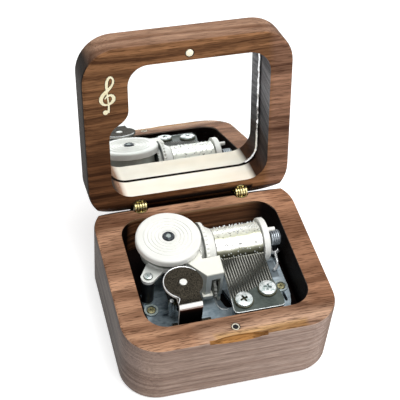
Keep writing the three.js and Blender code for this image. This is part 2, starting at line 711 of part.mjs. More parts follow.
// Pinned cylinder: a nickel sleeve between a geared end and a flanged end, on one shaft.
function addCylinder() {
  const driveStart = crownRadius - driveFace / 2;
  const inner = sleeveRadius - sleeveWall;
  const bore = shaftRadius + gap;
  const shroudRadius = mainRadius + shroudStand;
  const coneTop = mainRadius - coneDrop;
  const towardIdler = Math.atan2(-idlerDrop, -idlerBack);
  const drive = gear(driveTeeth, driveRadius, Math.PI / 2, driveStart, driveStart + driveFace);
  const main = gear(mainTeeth, mainRadius, towardIdler, mainStart - overlap, coneStart + overlap);
  const body = latheX([
    [0, driveStart],
    [hubRadius, driveStart],
    [hubRadius, shroudStart],
    [shroudRadius - shroudThickness / 2, shroudStart],
    [shroudRadius, shroudStart + shroudThickness / 2],
    [shroudRadius, mainStart],
    [coneTop, mainStart],
    [coneTop, coneStart],
    [sleeveRadius + coneLip, coneStart + coneLength],
    [inner - gap, coneStart + coneLength],
    [inner - gap, coneStart + coneLength + coneLength / 2],
    [0, coneStart + coneLength + coneLength / 2],
  ], sidesLarge);
  const boreX = rodX(bore, 0, 0, driveStart - overrun, flangeEnd + overrun, sidesTiny);
  add('cylinder_gear', body.add(drive).add(main).subtract(boreX), whitePlastic, cylinder);

  let sleeve = rodX(sleeveRadius, 0, 0, sleeveStart, sleeveStart + sleeveLength, sidesLarge);
  const pins = [];
  for (let track = 0; track < toothCount; track += 1) {
    for (let row = 0; row < pinRows; row += 1) {
      const turn = (track * 0.37 + row / pinRows + 0.11 * (track % 3)) % 1;
      pins.push(cylinderPin(track, turn));
    }
  }
  sleeve = sleeve.add(wasm.Manifold.union(pins));
  sleeve = sleeve.subtract(rodX(inner, 0, 0, sleeveStart - overrun,
    sleeveStart + sleeveLength + overrun, sidesMedium));
  add('cylinder_sleeve', sleeve, nickel, cylinder);

  const cap = latheX([
    [0, flangeStart - coneLength / 2],
    [inner - gap, flangeStart - coneLength / 2],
    [inner - gap, flangeStart],
    [flangeRadius, flangeStart],
    [flangeRadius, flangeEnd - shroudThickness],
    [flangeRadius - shroudThickness, flangeEnd],
    [0, flangeEnd],
  ], sidesLarge);
  const pegTurn = THREE.MathUtils.degToRad(pegAngle);
  const peg = rodX(pegRadius, pegOffset * Math.cos(pegTurn), pegOffset * Math.sin(pegTurn),
    flangeEnd - overlap, flangeEnd + pegLength, sidesTiny);
  add('cylinder_end_cap', cap.add(peg).subtract(boreX), whitePlastic, cylinder);

  const journal = leftBearing().x - drumX;
  const shaft = latheX([
    [0, journal - journalLength - gap],
    [journalRadius, journal - journalLength - gap],
    [journalRadius, driveStart],
    [shaftRadius, driveStart],
    [shaftRadius, bushingStart + bushingLength],
    [0, bushingStart + bushingLength],
  ], sidesTiny);
  add('cylinder_shaft', shaft, steel, cylinder);
}

// One pin on the sleeve, in the track of one comb tooth; turn is the share of a full turn.
function cylinderPin(track, turn) {
  const x = sleeveStart + combInset + track * toothPitch;
  const half = pinWidth / 2;
  const pin = box(x - half, x + half, sleeveRadius - pinHeight, sleeveRadius + pinHeight, -half, half);
  return pin.rotate([360 * turn, 0, 0]);
}

// Bushing that carries the cylinder's right end, with its foot on the bedplate.
function addCylinderBearing() {
  const start = drumX + bushingStart;
  const end = start + bushingLength;
  const armEnd = end - plateSetback;
  const armStart = armEnd - bushingFootWidth;
  const armHalf = bushingRadius * 0.4;
  const groove = bushingLength / 5;
  const bushing = latheX([
    [0, start],
    [bushingRadius - seat, start],
    [bushingRadius, start + seat],
    [bushingRadius, start + groove],
    [bushingRadius - gap, start + groove],
    [bushingRadius - gap, start + 2 * groove],
    [bushingRadius, start + 2 * groove],
    [bushingRadius, end],
    [0, end],
  ], sidesMedium).translate([0, axisY, axisZ]);
  const arm = box(armStart, armEnd, axisY - armHalf, axisY + armHalf, plateTop + seat, axisZ);
  const foot = box(armStart - bushingFootWidth, armEnd, axisY - bushingFootReach, axisY + armHalf,
    plateTop + seat, plateTop + seat + bracketThickness);
  const bearing = bushing.add(arm).add(foot).subtract(
    rodX(shaftRadius + gap, axisY, axisZ, start - overrun, end + overrun, sidesTiny));
  add('cylinder_bushing', bearing, steel);
}

// Comb: one steel plate whose teeth lengthen toward the left.
function addComb() {
  const outline = combBody();
  for (let i = toothCount - 1; i >= 0; i -= 1) {
    const [tipX, tipY] = combTip(i);
    const [rootX, rootY] = combRoot(i);
    const half = toothWidth / 2;
    outline.push([rootX + half, rootY], [tipX + half, tipY], [tipX - half, tipY], [rootX - half, rootY]);
  }
  let comb = prism(polygon(outline), combBottom, combTop);
  for (const [x, y] of combScrewPlaces()) {
    comb = comb.subtract(rodZ(combScrewShank + gap, x, y,
      combBottom - overrun, combTop + overrun, sidesTiny));
  }
  add('comb', comb, combSteel);
  for (const [name, place] of [['left', 0], ['right', 1]]) {
    const [x, y] = combScrewPlaces()[place];
    const head = screw(combScrewRadius, combThickness, combScrewShank, combScrewRadius * 2);
    add(`comb_screw_${name}`, head.translate([x, y, combTop + combThickness + seat]), steel);
  }
}

// Tooth tips lie on one line in front of the cylinder, just outside the circle of the pins.
function combTip(i) {
  return [drumX + sleeveStart + combInset + i * toothPitch, axisY - combTipReach];
}

function combRoot(i) {
  const [firstX, tipY] = combTip(0);
  const plain = combLeftPlain + (combRightPlain - combLeftPlain) * i / (toothCount - 1);
  return [firstX - combShift + i * combRootSpread, tipY - combDepth + plain];
}

// The plain part of the comb, from its left edge round the front to its right edge.
function combBody() {
  const [leftX] = combRoot(0);
  const [rightX, rightY] = combRoot(toothCount - 1);
  const [, tipY] = combTip(0);
  const front = tipY - combDepth;
  const corner = combScrewShank;
  return [
    [leftX - corner / 2, front + corner],
    [leftX - corner / 4, front + corner / 4],
    [leftX + corner / 2, front],
    [rightX + corner / 4, front],
    [rightX + 0.8 * corner, front + corner / 2],
    [rightX + 1.1 * corner, front + 2 * corner],
    [rightX + corner, front + 3.6 * corner],
    [rightX + corner / 2, rightY - 1.6 * corner],
  ];
}

// The cast block under the comb's plain part.
function combBlock() {
  const [leftX, leftY] = combRoot(0);
  const [rightX, rightY] = combRoot(toothCount - 1);
  const [, tipY] = combTip(0);
  const inset = toothWidth;
  const front = tipY - combDepth + 2 * inset;
  return polygon([
    [leftX + inset, front + 2 * inset],
    [rightX, front],
    [rightX, rightY - 2 * inset],
    [leftX + inset, leftY - inset],
  ]);
}

function combScrewPlaces() {
  const [leftX, leftY] = combRoot(0);
  const [rightX, rightY] = combRoot(toothCount - 1);
  return [
    [leftX + 1.08 * combScrewRadius, leftY - combScrewRadius / 2],
    [rightX - 0.9 * combScrewRadius, rightY - 1.2 * combScrewRadius],
  ];
}

// Idler: a pinion that the cylinder turns, and the worm wheel, on one shaft.
function addIdler() {
  const towardCylinder = Math.atan2(idlerDrop, idlerBack);
  const pinionStart = mainStart + gap;
  const pinion = gear(idlerTeeth, idlerRadius, towardCylinder + Math.PI / idlerTeeth,
    pinionStart, pinionStart + idlerFace);
  const bore = rodX(idlerShaftRadius + gap, 0, 0, -wormWheelRadius, pinionStart + mainRadius, sidesTiny);
  add('idler_gear', pinion.subtract(bore), greyPlastic, idler);
  const wheel = gear(wormWheelTeeth, wormWheelRadius, Math.PI, -wormWheelFace / 2, wormWheelFace / 2);
  add('worm_wheel', wheel.subtract(bore), brass, idler);
  const ends = idlerShaftEnds();
  add('idler_shaft', rodX(idlerShaftRadius, 0, 0, ends.left, ends.right, sidesTiny), steel, idler);

  const left = drumX + ends.left - gap;
  const wall = 3 * gap;
  const high = idlerZ + idlerShaftRadius + wall + gap;
  const half = idlerShaftRadius + wall + gap;
  const upright = box(left, left + 2 * wall, idlerY - half, idlerY + half, plateTop + seat, high);
  const foot = box(left, left + 2 * wall, idlerY - half, idlerY + 3 * half,
    plateTop + seat, plateTop + seat + wall);
  add('shaft_bracket', upright.add(foot).subtract(rodX(idlerShaftRadius + gap, idlerY, idlerZ,
    left - overrun, left + 2 * wall + overrun, sidesTiny)), steel);
}

function idlerShaftEnds() {
  return { left: -2.2 * wormWheelFace, right: coneStart + coneLength - gap };
}

// Governor: worm and fan on an upright shaft, drawn about the height of the idler axis.
function addGovernor() {
  const bottom = plateTop - plateThickness + gap - idlerZ;
  const shoulder = plateTop + gap - idlerZ;
  const bearing = bracketTop - bracketThickness - gap - idlerZ;
  const top = bracketTop - bracketThickness / 2 - idlerZ;
  const shaft = lathe([
    [0, bottom],
    [pivotRadius, bottom],
    [pivotRadius, shoulder],
    [wormCore, shoulder],
    [wormCore, bearing - gap],
    [pivotRadius, bearing - gap],
    [pivotRadius, top],
    [0, top],
  ], sidesTiny);
  const threads = [];
  const lead = wormStarts * wormPitch;
  for (let start = 0; start < wormStarts; start += 1) {
    // a tooth of the wheel lies midway between two turns on the side that faces it
    threads.push(helix({
      inner: wormCore - overlap,
      outer: wormRadius + addendum,
      thickness: threadShare * wormPitch,
      lead,
      turns: wormTurns,
      start: wormPitch / 2 + start * wormPitch - lead * wormTurns / 2 - lead * 0.05,
      phase: Math.PI / 2 - 2 * Math.PI * (wormTurns / 2 + 0.05),
    }));
  }
  add('worm_shaft', shaft.add(threads[0]).add(threads[1]), steel, governor);

  const wingTop = bracketTop - bracketThickness - wingDrop / 2 - idlerZ;
  const wingBottom = wingTop - wingHeight;
  let wings = rodZ(wingHub, 0, 0, wingBottom, wingTop, sidesSmall);
  for (const turn of [0, 120, 240]) {
    const blade = box(0, wingRadius, -wingThickness / 2, wingThickness / 2, wingBottom, wingTop);
    wings = wings.add(blade.rotate([0, 0, turn]));
  }
  wings = wings.subtract(rodZ(wormCore + gap, 0, 0, wingBottom - overrun, wingTop + overrun, sidesTiny));
  add('governor_wings', wings, greyPlastic, governor);
}

// Governor bracket: a strip bent down to the bedplate, with a round head that holds the bearing.
function addGovernorBracket() {
  const half = bracketThickness / 2;
  const legY = governorY - bracketReach + half;
  const high = bracketTop - half;
  const low = plateTop + seat + half;
  const centreX = drumX + gap;
  const left = centreX - bracketWidth / 2;
  const right = centreX + bracketWidth / 2;
  const path = [[governorY, high]];
  const bend = (y, z, radius, turn) => {
    path.push([y + radius * Math.cos(turn), z + radius * Math.sin(turn)]);
  };
  for (let i = 0; i <= 5; i += 1) {
    bend(legY + bendRadius, high - bendRadius, bendRadius, Math.PI / 2 * (1 + i / 5));
  }
  const footBend = half + gap;
  for (let i = 0; i <= 3; i += 1) {
    bend(legY + footBend, low + footBend, footBend, Math.PI * (1 + i / 6));
  }
  path.push([legY + footLength, low]);
  let bracket = prismX(ribbonPoints(path, path.map(() => half)), left, right);
  bracket = bracket.add(rodZ(discRadius, drumX, governorY,
    bracketTop - bracketThickness, bracketTop, sidesLarge));
  const [screwX, screwY] = bracketScrewPlace();
  bracket = bracket.add(box(right - overlap, right + footWidth, legY + bracketThickness,
    legY + footLength, plateTop + seat, plateTop + seat + bracketThickness));
  bracket = bracket.subtract(rodZ(bearingRadius + gap / 2, drumX, governorY,
    bracketTop - 2 * bracketThickness, bracketTop + overrun, sidesSmall));
  bracket = bracket.subtract(rodZ(earScrewShank() + gap, screwX, screwY,
    plateTop - overrun, plateTop + 2 * bracketThickness, sidesTiny));
  add('governor_bracket', bracket, darkSteel);

  const cup = lathe([
    [0, bracketTop - bracketThickness / 2 + gap],
    [pivotRadius + gap, bracketTop - bracketThickness / 2 + gap],
    [pivotRadius + gap, bracketTop - bracketThickness - gap],
    [bearingRadius, bracketTop - bracketThickness - gap],
    [bearingRadius, bracketTop + bearingStand - seat],
    [bearingRadius - seat, bracketTop + bearingStand],
    [0, bracketTop + bearingStand],
  ], sidesSmall).translate([drumX, governorY, 0]);
  add('governor_bearing', cup, whitePlastic);

  const head = screw(earScrewRadius, drumFloor / 2, earScrewShank(), plateThickness * 1.4);
  add('bracket_screw', head.translate([screwX, screwY,
    plateTop + 2 * seat + bracketThickness + drumFloor / 2]), darkSteel);
  const post = lathe([
    [0, plateTop + seat],
    [postRadius, plateTop + seat],
    [postRadius, plateTop + postHeight - postRadius / 2],
    [postRadius / 2, plateTop + postHeight],
    [0, plateTop + postHeight],
  ], sidesTiny).translate([drumX + postX, governorY + postY, 0]);
  add('stop_post', post, steel);
}

function bracketScrewPlace() {
  const legY = governorY - bracketReach;
  return [drumX + gap + bracketWidth / 2 + footWidth / 2, legY + footLength * 0.62];
}

// Gear cover: a white hood over the idler, open at the back and below, with a window in front.
function addGearCover() {
  const rear = idlerY + idlerRadius - gap;
  const front = idlerY - coverReach;
  const right = drumX + coneStart + coneLength;
  const left = drumX + drumRadius - capRadius / 2;
  const corner = drumX + capRadius - 2 * coverWall;
  const outline = [
    [left, rear - coverWall / 2],
    [corner, front],
    [right - coverWall / 2, front + gap],
    [right, rear],
  ];
  const hollow = [
    [left + 1.8 * coverWall, rear + overrun],
    [left + 1.8 * coverWall, rear - coverWall],
    [corner + coverWall, front + coverWall],
    [right - 1.5 * coverWall, front + coverWall + gap],
    [right - coverWall, rear + overrun],
  ];
  const bottom = coverTop - coverDepth;
  let cover = prism(polygon(outline), bottom, coverTop);
  cover = cover.subtract(prism(polygon(hollow), bottom - overrun, coverTop - coverRoof));
  cover = cover.subtract(box(corner + 2 * coverWall, right - 1.5 * coverWall, front - overrun,
    front + 2 * coverWall, bottom - overrun, coverTop - coverRoof - windowTop));
  const lobe = box(left, drumX + crownRadius - driveFace / 2 - gap, rear - coverWall,
    rear + lobeReach, coverTop - coverRoof, coverTop)
    .subtract(rodZ(drumRadius + gap, drumX, axisY, bottom, drumTop, sidesLarge));
  cover = cover.add(lobe);
  const shelfTop = bottom + shelfHeight;
  const pinionLeft = drumX + mainStart + gap;
  cover = cover.add(box(corner - shelfReach, pinionLeft - gap, front - shelfReach,
    front + 1.5 * coverWall, bottom, shelfTop));
  const legs = box(right - 1.5 * coverWall, right - coverWall / 2, front + coverWall,
    rear - 2 * coverWall, plateTop + seat, bottom + overlap);
  cover = cover.add(legs);
  cover = cover.subtract(rodX(idlerShaftRadius + gap, idlerY, idlerZ,
    drumX, right + overrun, sidesTiny));
  add('gear_cover', cover, whitePlastic);
}

// A screw that points down, its top at the origin, with a cross recess in its head.
function screw(headRadius, headHeight, shankRadius, length) {
  const step = headHeight * 0.45;
  const lip = headRadius * 0.88;
  let body = lathe([
    [0, -headHeight - length],
    [shankRadius, -headHeight - length],
    [shankRadius, -headHeight],
    [headRadius, -headHeight],
    [headRadius, -step],
    [lip, -step],
    [lip * 0.9, 0],
    [0, 0],
  ], sidesSmall);
  const arm = headRadius * 0.5;
  const half = headRadius * 0.13;
  const deep = headHeight * 0.6;
  body = body.subtract(box(-arm, arm, -half, half, -deep, overrun));
  return body.subtract(box(-half, half, -arm, arm, -deep, overrun));
}

// A gear about the X axis; phase is the angle of one tooth, from +Y toward +Z.
function gear(teeth, radius, phase, x0, x1) {
  const pitch = 2 * Math.PI * radius / teeth;
  const tip = radius + addendum;
  const root = radius - addendum - gap;
  const tipHalf = pitch * tipShare / 2 / tip;
  const rootHalf = pitch * rootShare / 2 / root;
  const points = [];
  for (let i = 0; i < teeth; i += 1) {
    const turn = phase + 2 * Math.PI * i / teeth;
    for (const [r, offset] of [[root, -rootHalf], [tip, -tipHalf], [tip, tipHalf], [root, rootHalf]]) {
      points.push([r * Math.cos(turn + offset), r * Math.sin(turn + offset)]);
    }
  }
  return prismX(points, x0, x1);
}

// A flat bar wound about the Z axis, rising with each turn.
function helix({ inner, outer, thickness, lead, turns, start, phase }) {
  const steps = Math.ceil(turns * sidesTiny);
  const positions = [];
  const indices = [];
  for (let i = 0; i <= steps; i += 1) {
    const share = turns * i / steps;
    const turn = phase + 2 * Math.PI * share;
    const z = start + lead * share;
    for (const [r, side] of [[inner, -1], [outer, -1], [outer, 1], [inner, 1]]) {
      positions.push(r * Math.cos(turn), r * Math.sin(turn), z + side * thickness / 2);
    }
  }
  for (let i = 0; i < steps; i += 1) {
    for (let k = 0; k < 4; k += 1) {
      const a = 4 * i + k;
      const b = 4 * i + (k + 1) % 4;
      indices.push(a, b + 4, b, a, a + 4, b + 4);
    }
  }
  const last = 4 * steps;
  indices.push(0, 1, 2, 0, 2, 3, last, last + 2, last + 1, last, last + 3, last + 2);
  return closed(positions, indices);
}

// Basic solids
function box(x0, x1, y0, y1, z0, z1) {
  const block = new THREE.BoxGeometry(x1 - x0, y1 - y0, z1 - z0);
  block.translate((x0 + x1) / 2, (y0 + y1) / 2, (z0 + z1) / 2);
  return solid(block);
}

function rodZ(radius, x, y, z0, z1, segments) {
  const rod = new THREE.CylinderGeometry(radius, radius, z1 - z0, segments);
  rod.rotateX(Math.PI / 2);
  rod.translate(x, y, (z0 + z1) / 2);
  return solid(rod);
}

function rodX(radius, y, z, x0, x1, segments) {
  const rod = new THREE.CylinderGeometry(radius, radius, x1 - x0, segments);
  rod.rotateZ(Math.PI / 2);
  rod.translate((x0 + x1) / 2, y, z);
  return solid(rod);
}

function slot(xa, ya, xb, yb, half) {
  const path = [[xa, ya], [xb, yb]];
  const z0 = cavityFloor;
  const z1 = plateTop + overrun;
  return prism(ribbon(path, [half, half]), z0, z1)
    .add(rodZ(half, xa, ya, z0, z1, sidesTiny))
    .add(rodZ(half, xb, yb, z0, z1, sidesTiny));
}

function prism(shape, z0, z1) {
  const body = new THREE.ExtrudeGeometry(shape, { depth: z1 - z0, bevelEnabled: false, curveSegments: 6 });
  body.translate(0, 0, z0);
  return solid(body);
}

// An outline in Y and Z drawn out along X.
function prismX(points, x0, x1) {
  const body = new THREE.ExtrudeGeometry(polygon(points), { depth: x1 - x0, bevelEnabled: false });
  const turn = new THREE.Matrix4().makeBasis(
    new THREE.Vector3(0, 1, 0), new THREE.Vector3(0, 0, 1), new THREE.Vector3(1, 0, 0));
  body.applyMatrix4(turn);
  body.translate(x0, 0, 0);
  return solid(body);
}

// A profile of [radius, z] pairs turned about the Z axis.
function lathe(profile, segments) {
  const points = profile.map(([r, z]) => new THREE.Vector2(r, z));
  const ring = new THREE.LatheGeometry(profile[0][0] > 0 ? [...points, points[0]] : points, segments);
  ring.rotateX(Math.PI / 2);
  return solid(ring);
}

// A profile of [radius, x] pairs turned about the X axis.
function latheX(profile, segments) {
  return lathe(profile, segments).rotate([0, 90, 0]);
}

function polygon(points) {
  return new THREE.Shape(points.map(([x, y]) => new THREE.Vector2(x, y)));
}

function roundedRect(left, right, front, rear, radius) {
  const shape = new THREE.Shape();
  shape.absarc(right - radius, front + radius, radius, -Math.PI / 2, 0);
  shape.absarc(right - radius, rear - radius, radius, 0, Math.PI / 2);
  shape.absarc(left + radius, rear - radius, radius, Math.PI / 2, Math.PI);
  shape.absarc(left + radius, front + radius, radius, Math.PI, 1.5 * Math.PI);
  return shape;
}

// The outline of a strip that follows a path, with half its width given at each point.
function ribbonPoints(path, halfWidths) {
  const sides = [[], []];
  path.forEach(([x, y], i) => {
    const [ax, ay] = path[Math.max(i - 1, 0)];
    const [bx, by] = path[Math.min(i + 1, path.length - 1)];
    const length = Math.hypot(bx - ax, by - ay);
    const nx = -(by - ay) / length * halfWidths[i];
    const ny = (bx - ax) / length * halfWidths[i];
    sides[0].push([x + nx, y + ny]);
    sides[1].push([x - nx, y - ny]);
  });
  return [...sides[0], ...sides[1].reverse()];
}

function ribbon(path, halfWidths) {
  return polygon(ribbonPoints(path, halfWidths));
}

function material(color, roughness, metalness) {
  return new THREE.MeshStandardMaterial({ color, roughness, metalness });
}

// Conversions between three.js geometry and solids that can be joined and cut
function solid(geometry) {
  const bare = geometry.clone();
  bare.deleteAttribute('normal');
  bare.deleteAttribute('uv');
  const merged = mergeVertices(bare, 1e-5);
  return closed(merged.attributes.position.array, merged.index.array);
}

function closed(positions, indices) {
  const triVerts = [];
  for (let i = 0; i < indices.length; i += 3) {
    const [a, b, c] = [indices[i], indices[i + 1], indices[i + 2]];
    if (a !== b && b !== c && c !== a) triVerts.push(a, b, c);
  }
  const body = new wasm.Manifold(new wasm.Mesh({
    numProp: 3,
    vertProperties: new Float32Array(positions),
    triVerts: new Uint32Array(triVerts),
  }));
  return body;
}

function add(name, body, look, parent = musicBox) {
  const mesh = body.getMesh();
  const geometry = new THREE.BufferGeometry();
  geometry.setAttribute('position', new THREE.BufferAttribute(mesh.vertProperties, 3));
  geometry.setIndex(new THREE.BufferAttribute(mesh.triVerts, 1));
  geometry.computeVertexNormals();
  const piece = new THREE.Mesh(geometry, look);
  piece.name = name;
  parent.add(piece);
}
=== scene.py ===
import json
import math
import random

import bmesh
import bpy
from mathutils import Matrix, Vector


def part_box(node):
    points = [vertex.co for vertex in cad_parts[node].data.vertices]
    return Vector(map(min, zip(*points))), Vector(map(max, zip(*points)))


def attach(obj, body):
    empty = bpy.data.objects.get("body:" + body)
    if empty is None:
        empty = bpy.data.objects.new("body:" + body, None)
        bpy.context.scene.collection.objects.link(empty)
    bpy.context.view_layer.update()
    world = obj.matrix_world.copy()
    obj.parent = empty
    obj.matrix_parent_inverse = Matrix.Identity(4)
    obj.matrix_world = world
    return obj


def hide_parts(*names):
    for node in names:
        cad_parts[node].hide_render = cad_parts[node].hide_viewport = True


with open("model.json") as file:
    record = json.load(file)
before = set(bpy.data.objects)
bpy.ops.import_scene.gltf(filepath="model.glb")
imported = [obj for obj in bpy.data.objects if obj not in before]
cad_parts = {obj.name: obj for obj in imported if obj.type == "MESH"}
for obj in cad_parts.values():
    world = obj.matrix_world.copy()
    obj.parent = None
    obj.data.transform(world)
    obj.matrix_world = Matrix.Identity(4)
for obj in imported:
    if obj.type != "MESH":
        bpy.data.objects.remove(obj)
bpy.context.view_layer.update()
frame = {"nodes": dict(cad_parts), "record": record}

# Walnut music box with a mirror lid. The frame brings in the solids, and this script dresses them:
# wood, metals and plastics made of nodes, and finer pieces where a solid is plain.

mm = 0.001  # sizes below are in millimetres, Blender's own are in metres
scene = bpy.context.scene
scene.view_settings.view_transform = "Standard"


# Where things are, read from the frame

bodyOf = {node: body for body, nodes in frame["record"]["behaviour"]["bodies"].items() for node in nodes}


def boxOf(node):
    low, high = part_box(node)
    return low / mm, high / mm


def centreOf(node):
    low, high = boxOf(node)
    return (low + high) / 2


def roundOf(node):  # an upright round solid: its low and high corners, its axis and its radius
    low, high = boxOf(node)
    return low, high, Vector(((low.x + high.x) / 2, (low.y + high.y) / 2, 0)), (high.x - low.x) / 2


# Mesh helpers

def newPiece(name, work, body, finishes, stands=()):  # stands: the plain solids that it replaces
    piece = bpy.data.objects.new(name, meshOf(name, work))
    scene.collection.objects.link(piece)
    for finish in finishes:
        piece.data.materials.append(materials[finish])
    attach(piece, body)
    if stands:
        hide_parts(*stands)
    return piece


def meshOf(name, work):
    bmesh.ops.recalc_face_normals(work, faces=work.faces)
    mesh = bpy.data.meshes.new(name)
    work.to_mesh(mesh)
    work.free()
    return mesh


def turned(work, profile, sides, centre, axis="Z"):  # profile: radius and height pairs, a closed loop
    rings = []
    for radius, height in profile:
        ring = []
        for i in range(sides if radius > 0 else 1):
            angle = 2 * math.pi * i / sides
            across, up = radius * math.cos(angle), radius * math.sin(angle)
            spot = (height, across, up) if axis == "X" else (across, up, height)
            ring.append(work.verts.new((Vector(centre) + Vector(spot)) * mm))
        rings.append(ring)
    for start, end in zip(rings, rings[1:] + rings[:1]):
        for i in range(sides):
            loop = [ring[k % len(ring)] for ring, k in ((start, i), (start, i + 1), (end, i + 1), (end, i))]
            corners = list(dict.fromkeys(loop))
            if len(corners) > 2:
                work.faces.new(corners)


def quarter(middle, height, reach, rise, steps):  # part of a profile, from its side to its top
    turns = [math.pi / 2 * i / steps for i in range(steps)]
    side = [(middle + reach * math.cos(turn), height + rise * math.sin(turn)) for turn in turns]
    return side + [(middle, height + rise)]


def block(work, low, high):
    corners = [work.verts.new(Vector((x, y, z)) * mm)
               for x in (low[0], high[0]) for y in (low[1], high[1]) for z in (low[2], high[2])]
    for quad in ((0, 1, 3, 2), (4, 6, 7, 5), (0, 4, 5, 1), (2, 3, 7, 6), (0, 2, 6, 4), (1, 5, 7, 3)):
        work.faces.new([corners[i] for i in quad])
    return corners


def tube(work, points, radii, sides=10):  # a round bar along a path, its radius given at each point
    path = [Vector(point) for point in points]
    across = Vector((1, 0, 0))
    rings = []
    for i, point in enumerate(path):
        along = (path[min(i + 1, len(path) - 1)] - path[max(i - 1, 0)]).normalized()
        across = (across - along * across.dot(along)).normalized()
        third = along.cross(across)
        ring = []
        for k in range(sides):
            angle = 2 * math.pi * k / sides
            outward = across * math.cos(angle) + third * math.sin(angle)
            ring.append(work.verts.new((point + radii[i] * outward) * mm))
        rings.append(ring)
    for start, end in zip(rings, rings[1:]):
        for k in range(sides):
            work.faces.new((start[k], start[(k + 1) % sides], end[(k + 1) % sides], end[k]))
    work.faces.new(rings[0][::-1])
    work.faces.new(rings[-1])


edgeLook = {"weldWithin": 0.001, "bevelAbove": 30, "smoothBelow": 35}  # millimetres, degrees, degrees


def smoothTree(degrees):  # geometry nodes that smooth all but the edges sharper than this
    tree = bpy.data.node_groups.new(f"smoothBelow{degrees}", "GeometryNodeTree")
    tree.interface.new_socket("Geometry", in_out="INPUT", socket_type="NodeSocketGeometry")
    tree.interface.new_socket("Geometry", in_out="OUTPUT", socket_type="NodeSocketGeometry")
    start = tree.nodes.new("NodeGroupInput")
    end = tree.nodes.new("NodeGroupOutput")
    allSmooth = tree.nodes.new("GeometryNodeSetShadeSmooth")
    sharp = tree.nodes.new("GeometryNodeSetShadeSmooth")
    sharp.domain = "EDGE"
    sharp.inputs["Shade Smooth"].default_value = False
    angle = tree.nodes.new("GeometryNodeInputMeshEdgeAngle")
    above = tree.nodes.new("FunctionNodeCompare")
    above.inputs[1].default_value = math.radians(degrees)
    tree.links.new(start.outputs[0], allSmooth.inputs["Geometry"])
    tree.links.new(allSmooth.outputs[0], sharp.inputs["Geometry"])
    tree.links.new(angle.outputs["Unsigned Angle"], above.inputs[0])
    tree.links.new(above.outputs[0], sharp.inputs["Selection"])
    tree.links.new(sharp.outputs[0], end.inputs[0])
    return tree


smoothing = smoothTree(edgeLook["smoothBelow"])


def softEdges(piece, width=0.0, segments=2):
    weld = piece.modifiers.new("weld", "WELD")
    weld.merge_threshold = edgeLook["weldWithin"] * mm
    if width:
        bevel = piece.modifiers.new("bevel", "BEVEL")
        bevel.width = width * mm
        bevel.segments = segments
        bevel.limit_method = "ANGLE"
        bevel.angle_limit = math.radians(edgeLook["bevelAbove"])
        bevel.use_clamp_overlap = True
    smooth = piece.modifiers.new("smooth", "NODES")
    smooth.node_group = smoothing
    if width:
        level = piece.modifiers.new("level", "WEIGHTED_NORMAL")  # large flat faces stay flat up to the bevel
        level.keep_sharp = True


# Shader node helpers

def feed(node, inputs):
    for key, value in inputs.items():
        socket = node.inputs[key]
        if isinstance(value, bpy.types.NodeSocket):
            node.id_data.links.new(value, socket)
        else:
            socket.default_value = value


def put(kind, inputs, tree=None, **settings):  # a node in the tree given, or else in that of its inputs
    if tree is None:
        tree = next(value.id_data for value in inputs.values() if isinstance(value, bpy.types.NodeSocket))
    node = tree.nodes.new("ShaderNode" + kind)
    for key, value in settings.items():
        setattr(node, key, value)
    feed(node, inputs)
    return node


def sums(operation, first, second=0.0, clamp=False):
    return put("Math", {0: first, 1: second}, operation=operation, use_clamp=clamp).outputs[0]


def plus(first, second):
    return sums("ADD", first, second)


def minus(first, second):
    return sums("SUBTRACT", first, second)


def times(first, second):
    return sums("MULTIPLY", first, second)


def remap(value, fromLow, fromHigh, toLow=0.0, toHigh=1.0):
    return put("MapRange", {"Value": value, "From Min": fromLow, "From Max": fromHigh,
                            "To Min": toLow, "To Max": toHigh}).outputs["Result"]


def blend(share, first, second, kind="MIX"):
    return put("Mix", {0: share, 6: first, 7: second}, data_type="RGBA", blend_type=kind).outputs[2]


def between(share, first, second):
    return put("Mix", {0: share, 2: first, 3: second}, data_type="FLOAT").outputs[0]


def noise(place, scale, detail=2.0, roughness=0.5, **settings):
    return put("TexNoise", {"Vector": place, "Scale": scale, "Detail": detail, "Roughness": roughness},
               **settings).outputs["Fac"]


def vectorMath(operation, first, second, output="Vector"):
    return put("VectorMath", {0: first, 1: second}, operation=operation).outputs[output]


def stretched(place, shares):
    return vectorMath("MULTIPLY", place, shares)


def partsOf(vector):
    return put("SeparateXYZ", {0: vector}).outputs


def colour(red, green, blue):  # a colour as a photo shows it, 0 to 255, turned into Blender's linear one
    def linear(part):
        part /= 255
        return part / 12.92 if part <= 0.04045 else ((part + 0.055) / 1.055) ** 2.4
    return (linear(red), linear(green), linear(blue), 1.0)


def toneOf(share, tones):  # between two colours: the darker at 0, the lighter at 1
    return blend(share, colour(*tones[0]), colour(*tones[1]))


def rampOf(share, bands):
    ramp = put("ValToRGB", {"Fac": share})
    stops = ramp.color_ramp.elements
    for i, (position, tone) in enumerate(bands):
        stop = stops[i] if i < 2 else stops.new(position)
        stop.position = position
        stop.color = colour(*tone)
    return ramp.outputs["Color"]


def newGroup(name, vectors, values, results):
    tree = bpy.data.node_groups.new(name, "ShaderNodeTree")
    for labels, direction, kind in ((vectors, "INPUT", "Vector"), (values, "INPUT", "Float"),
                                    (results, "OUTPUT", "Float")):
        for label in labels:
            tree.interface.new_socket(label, in_out=direction, socket_type="NodeSocket" + kind)
    return tree, tree.nodes.new("NodeGroupInput").outputs, tree.nodes.new("NodeGroupOutput")


def useGroup(group, inputs):
    return put("Group", inputs, node_tree=group).outputs


# Effects that several materials share

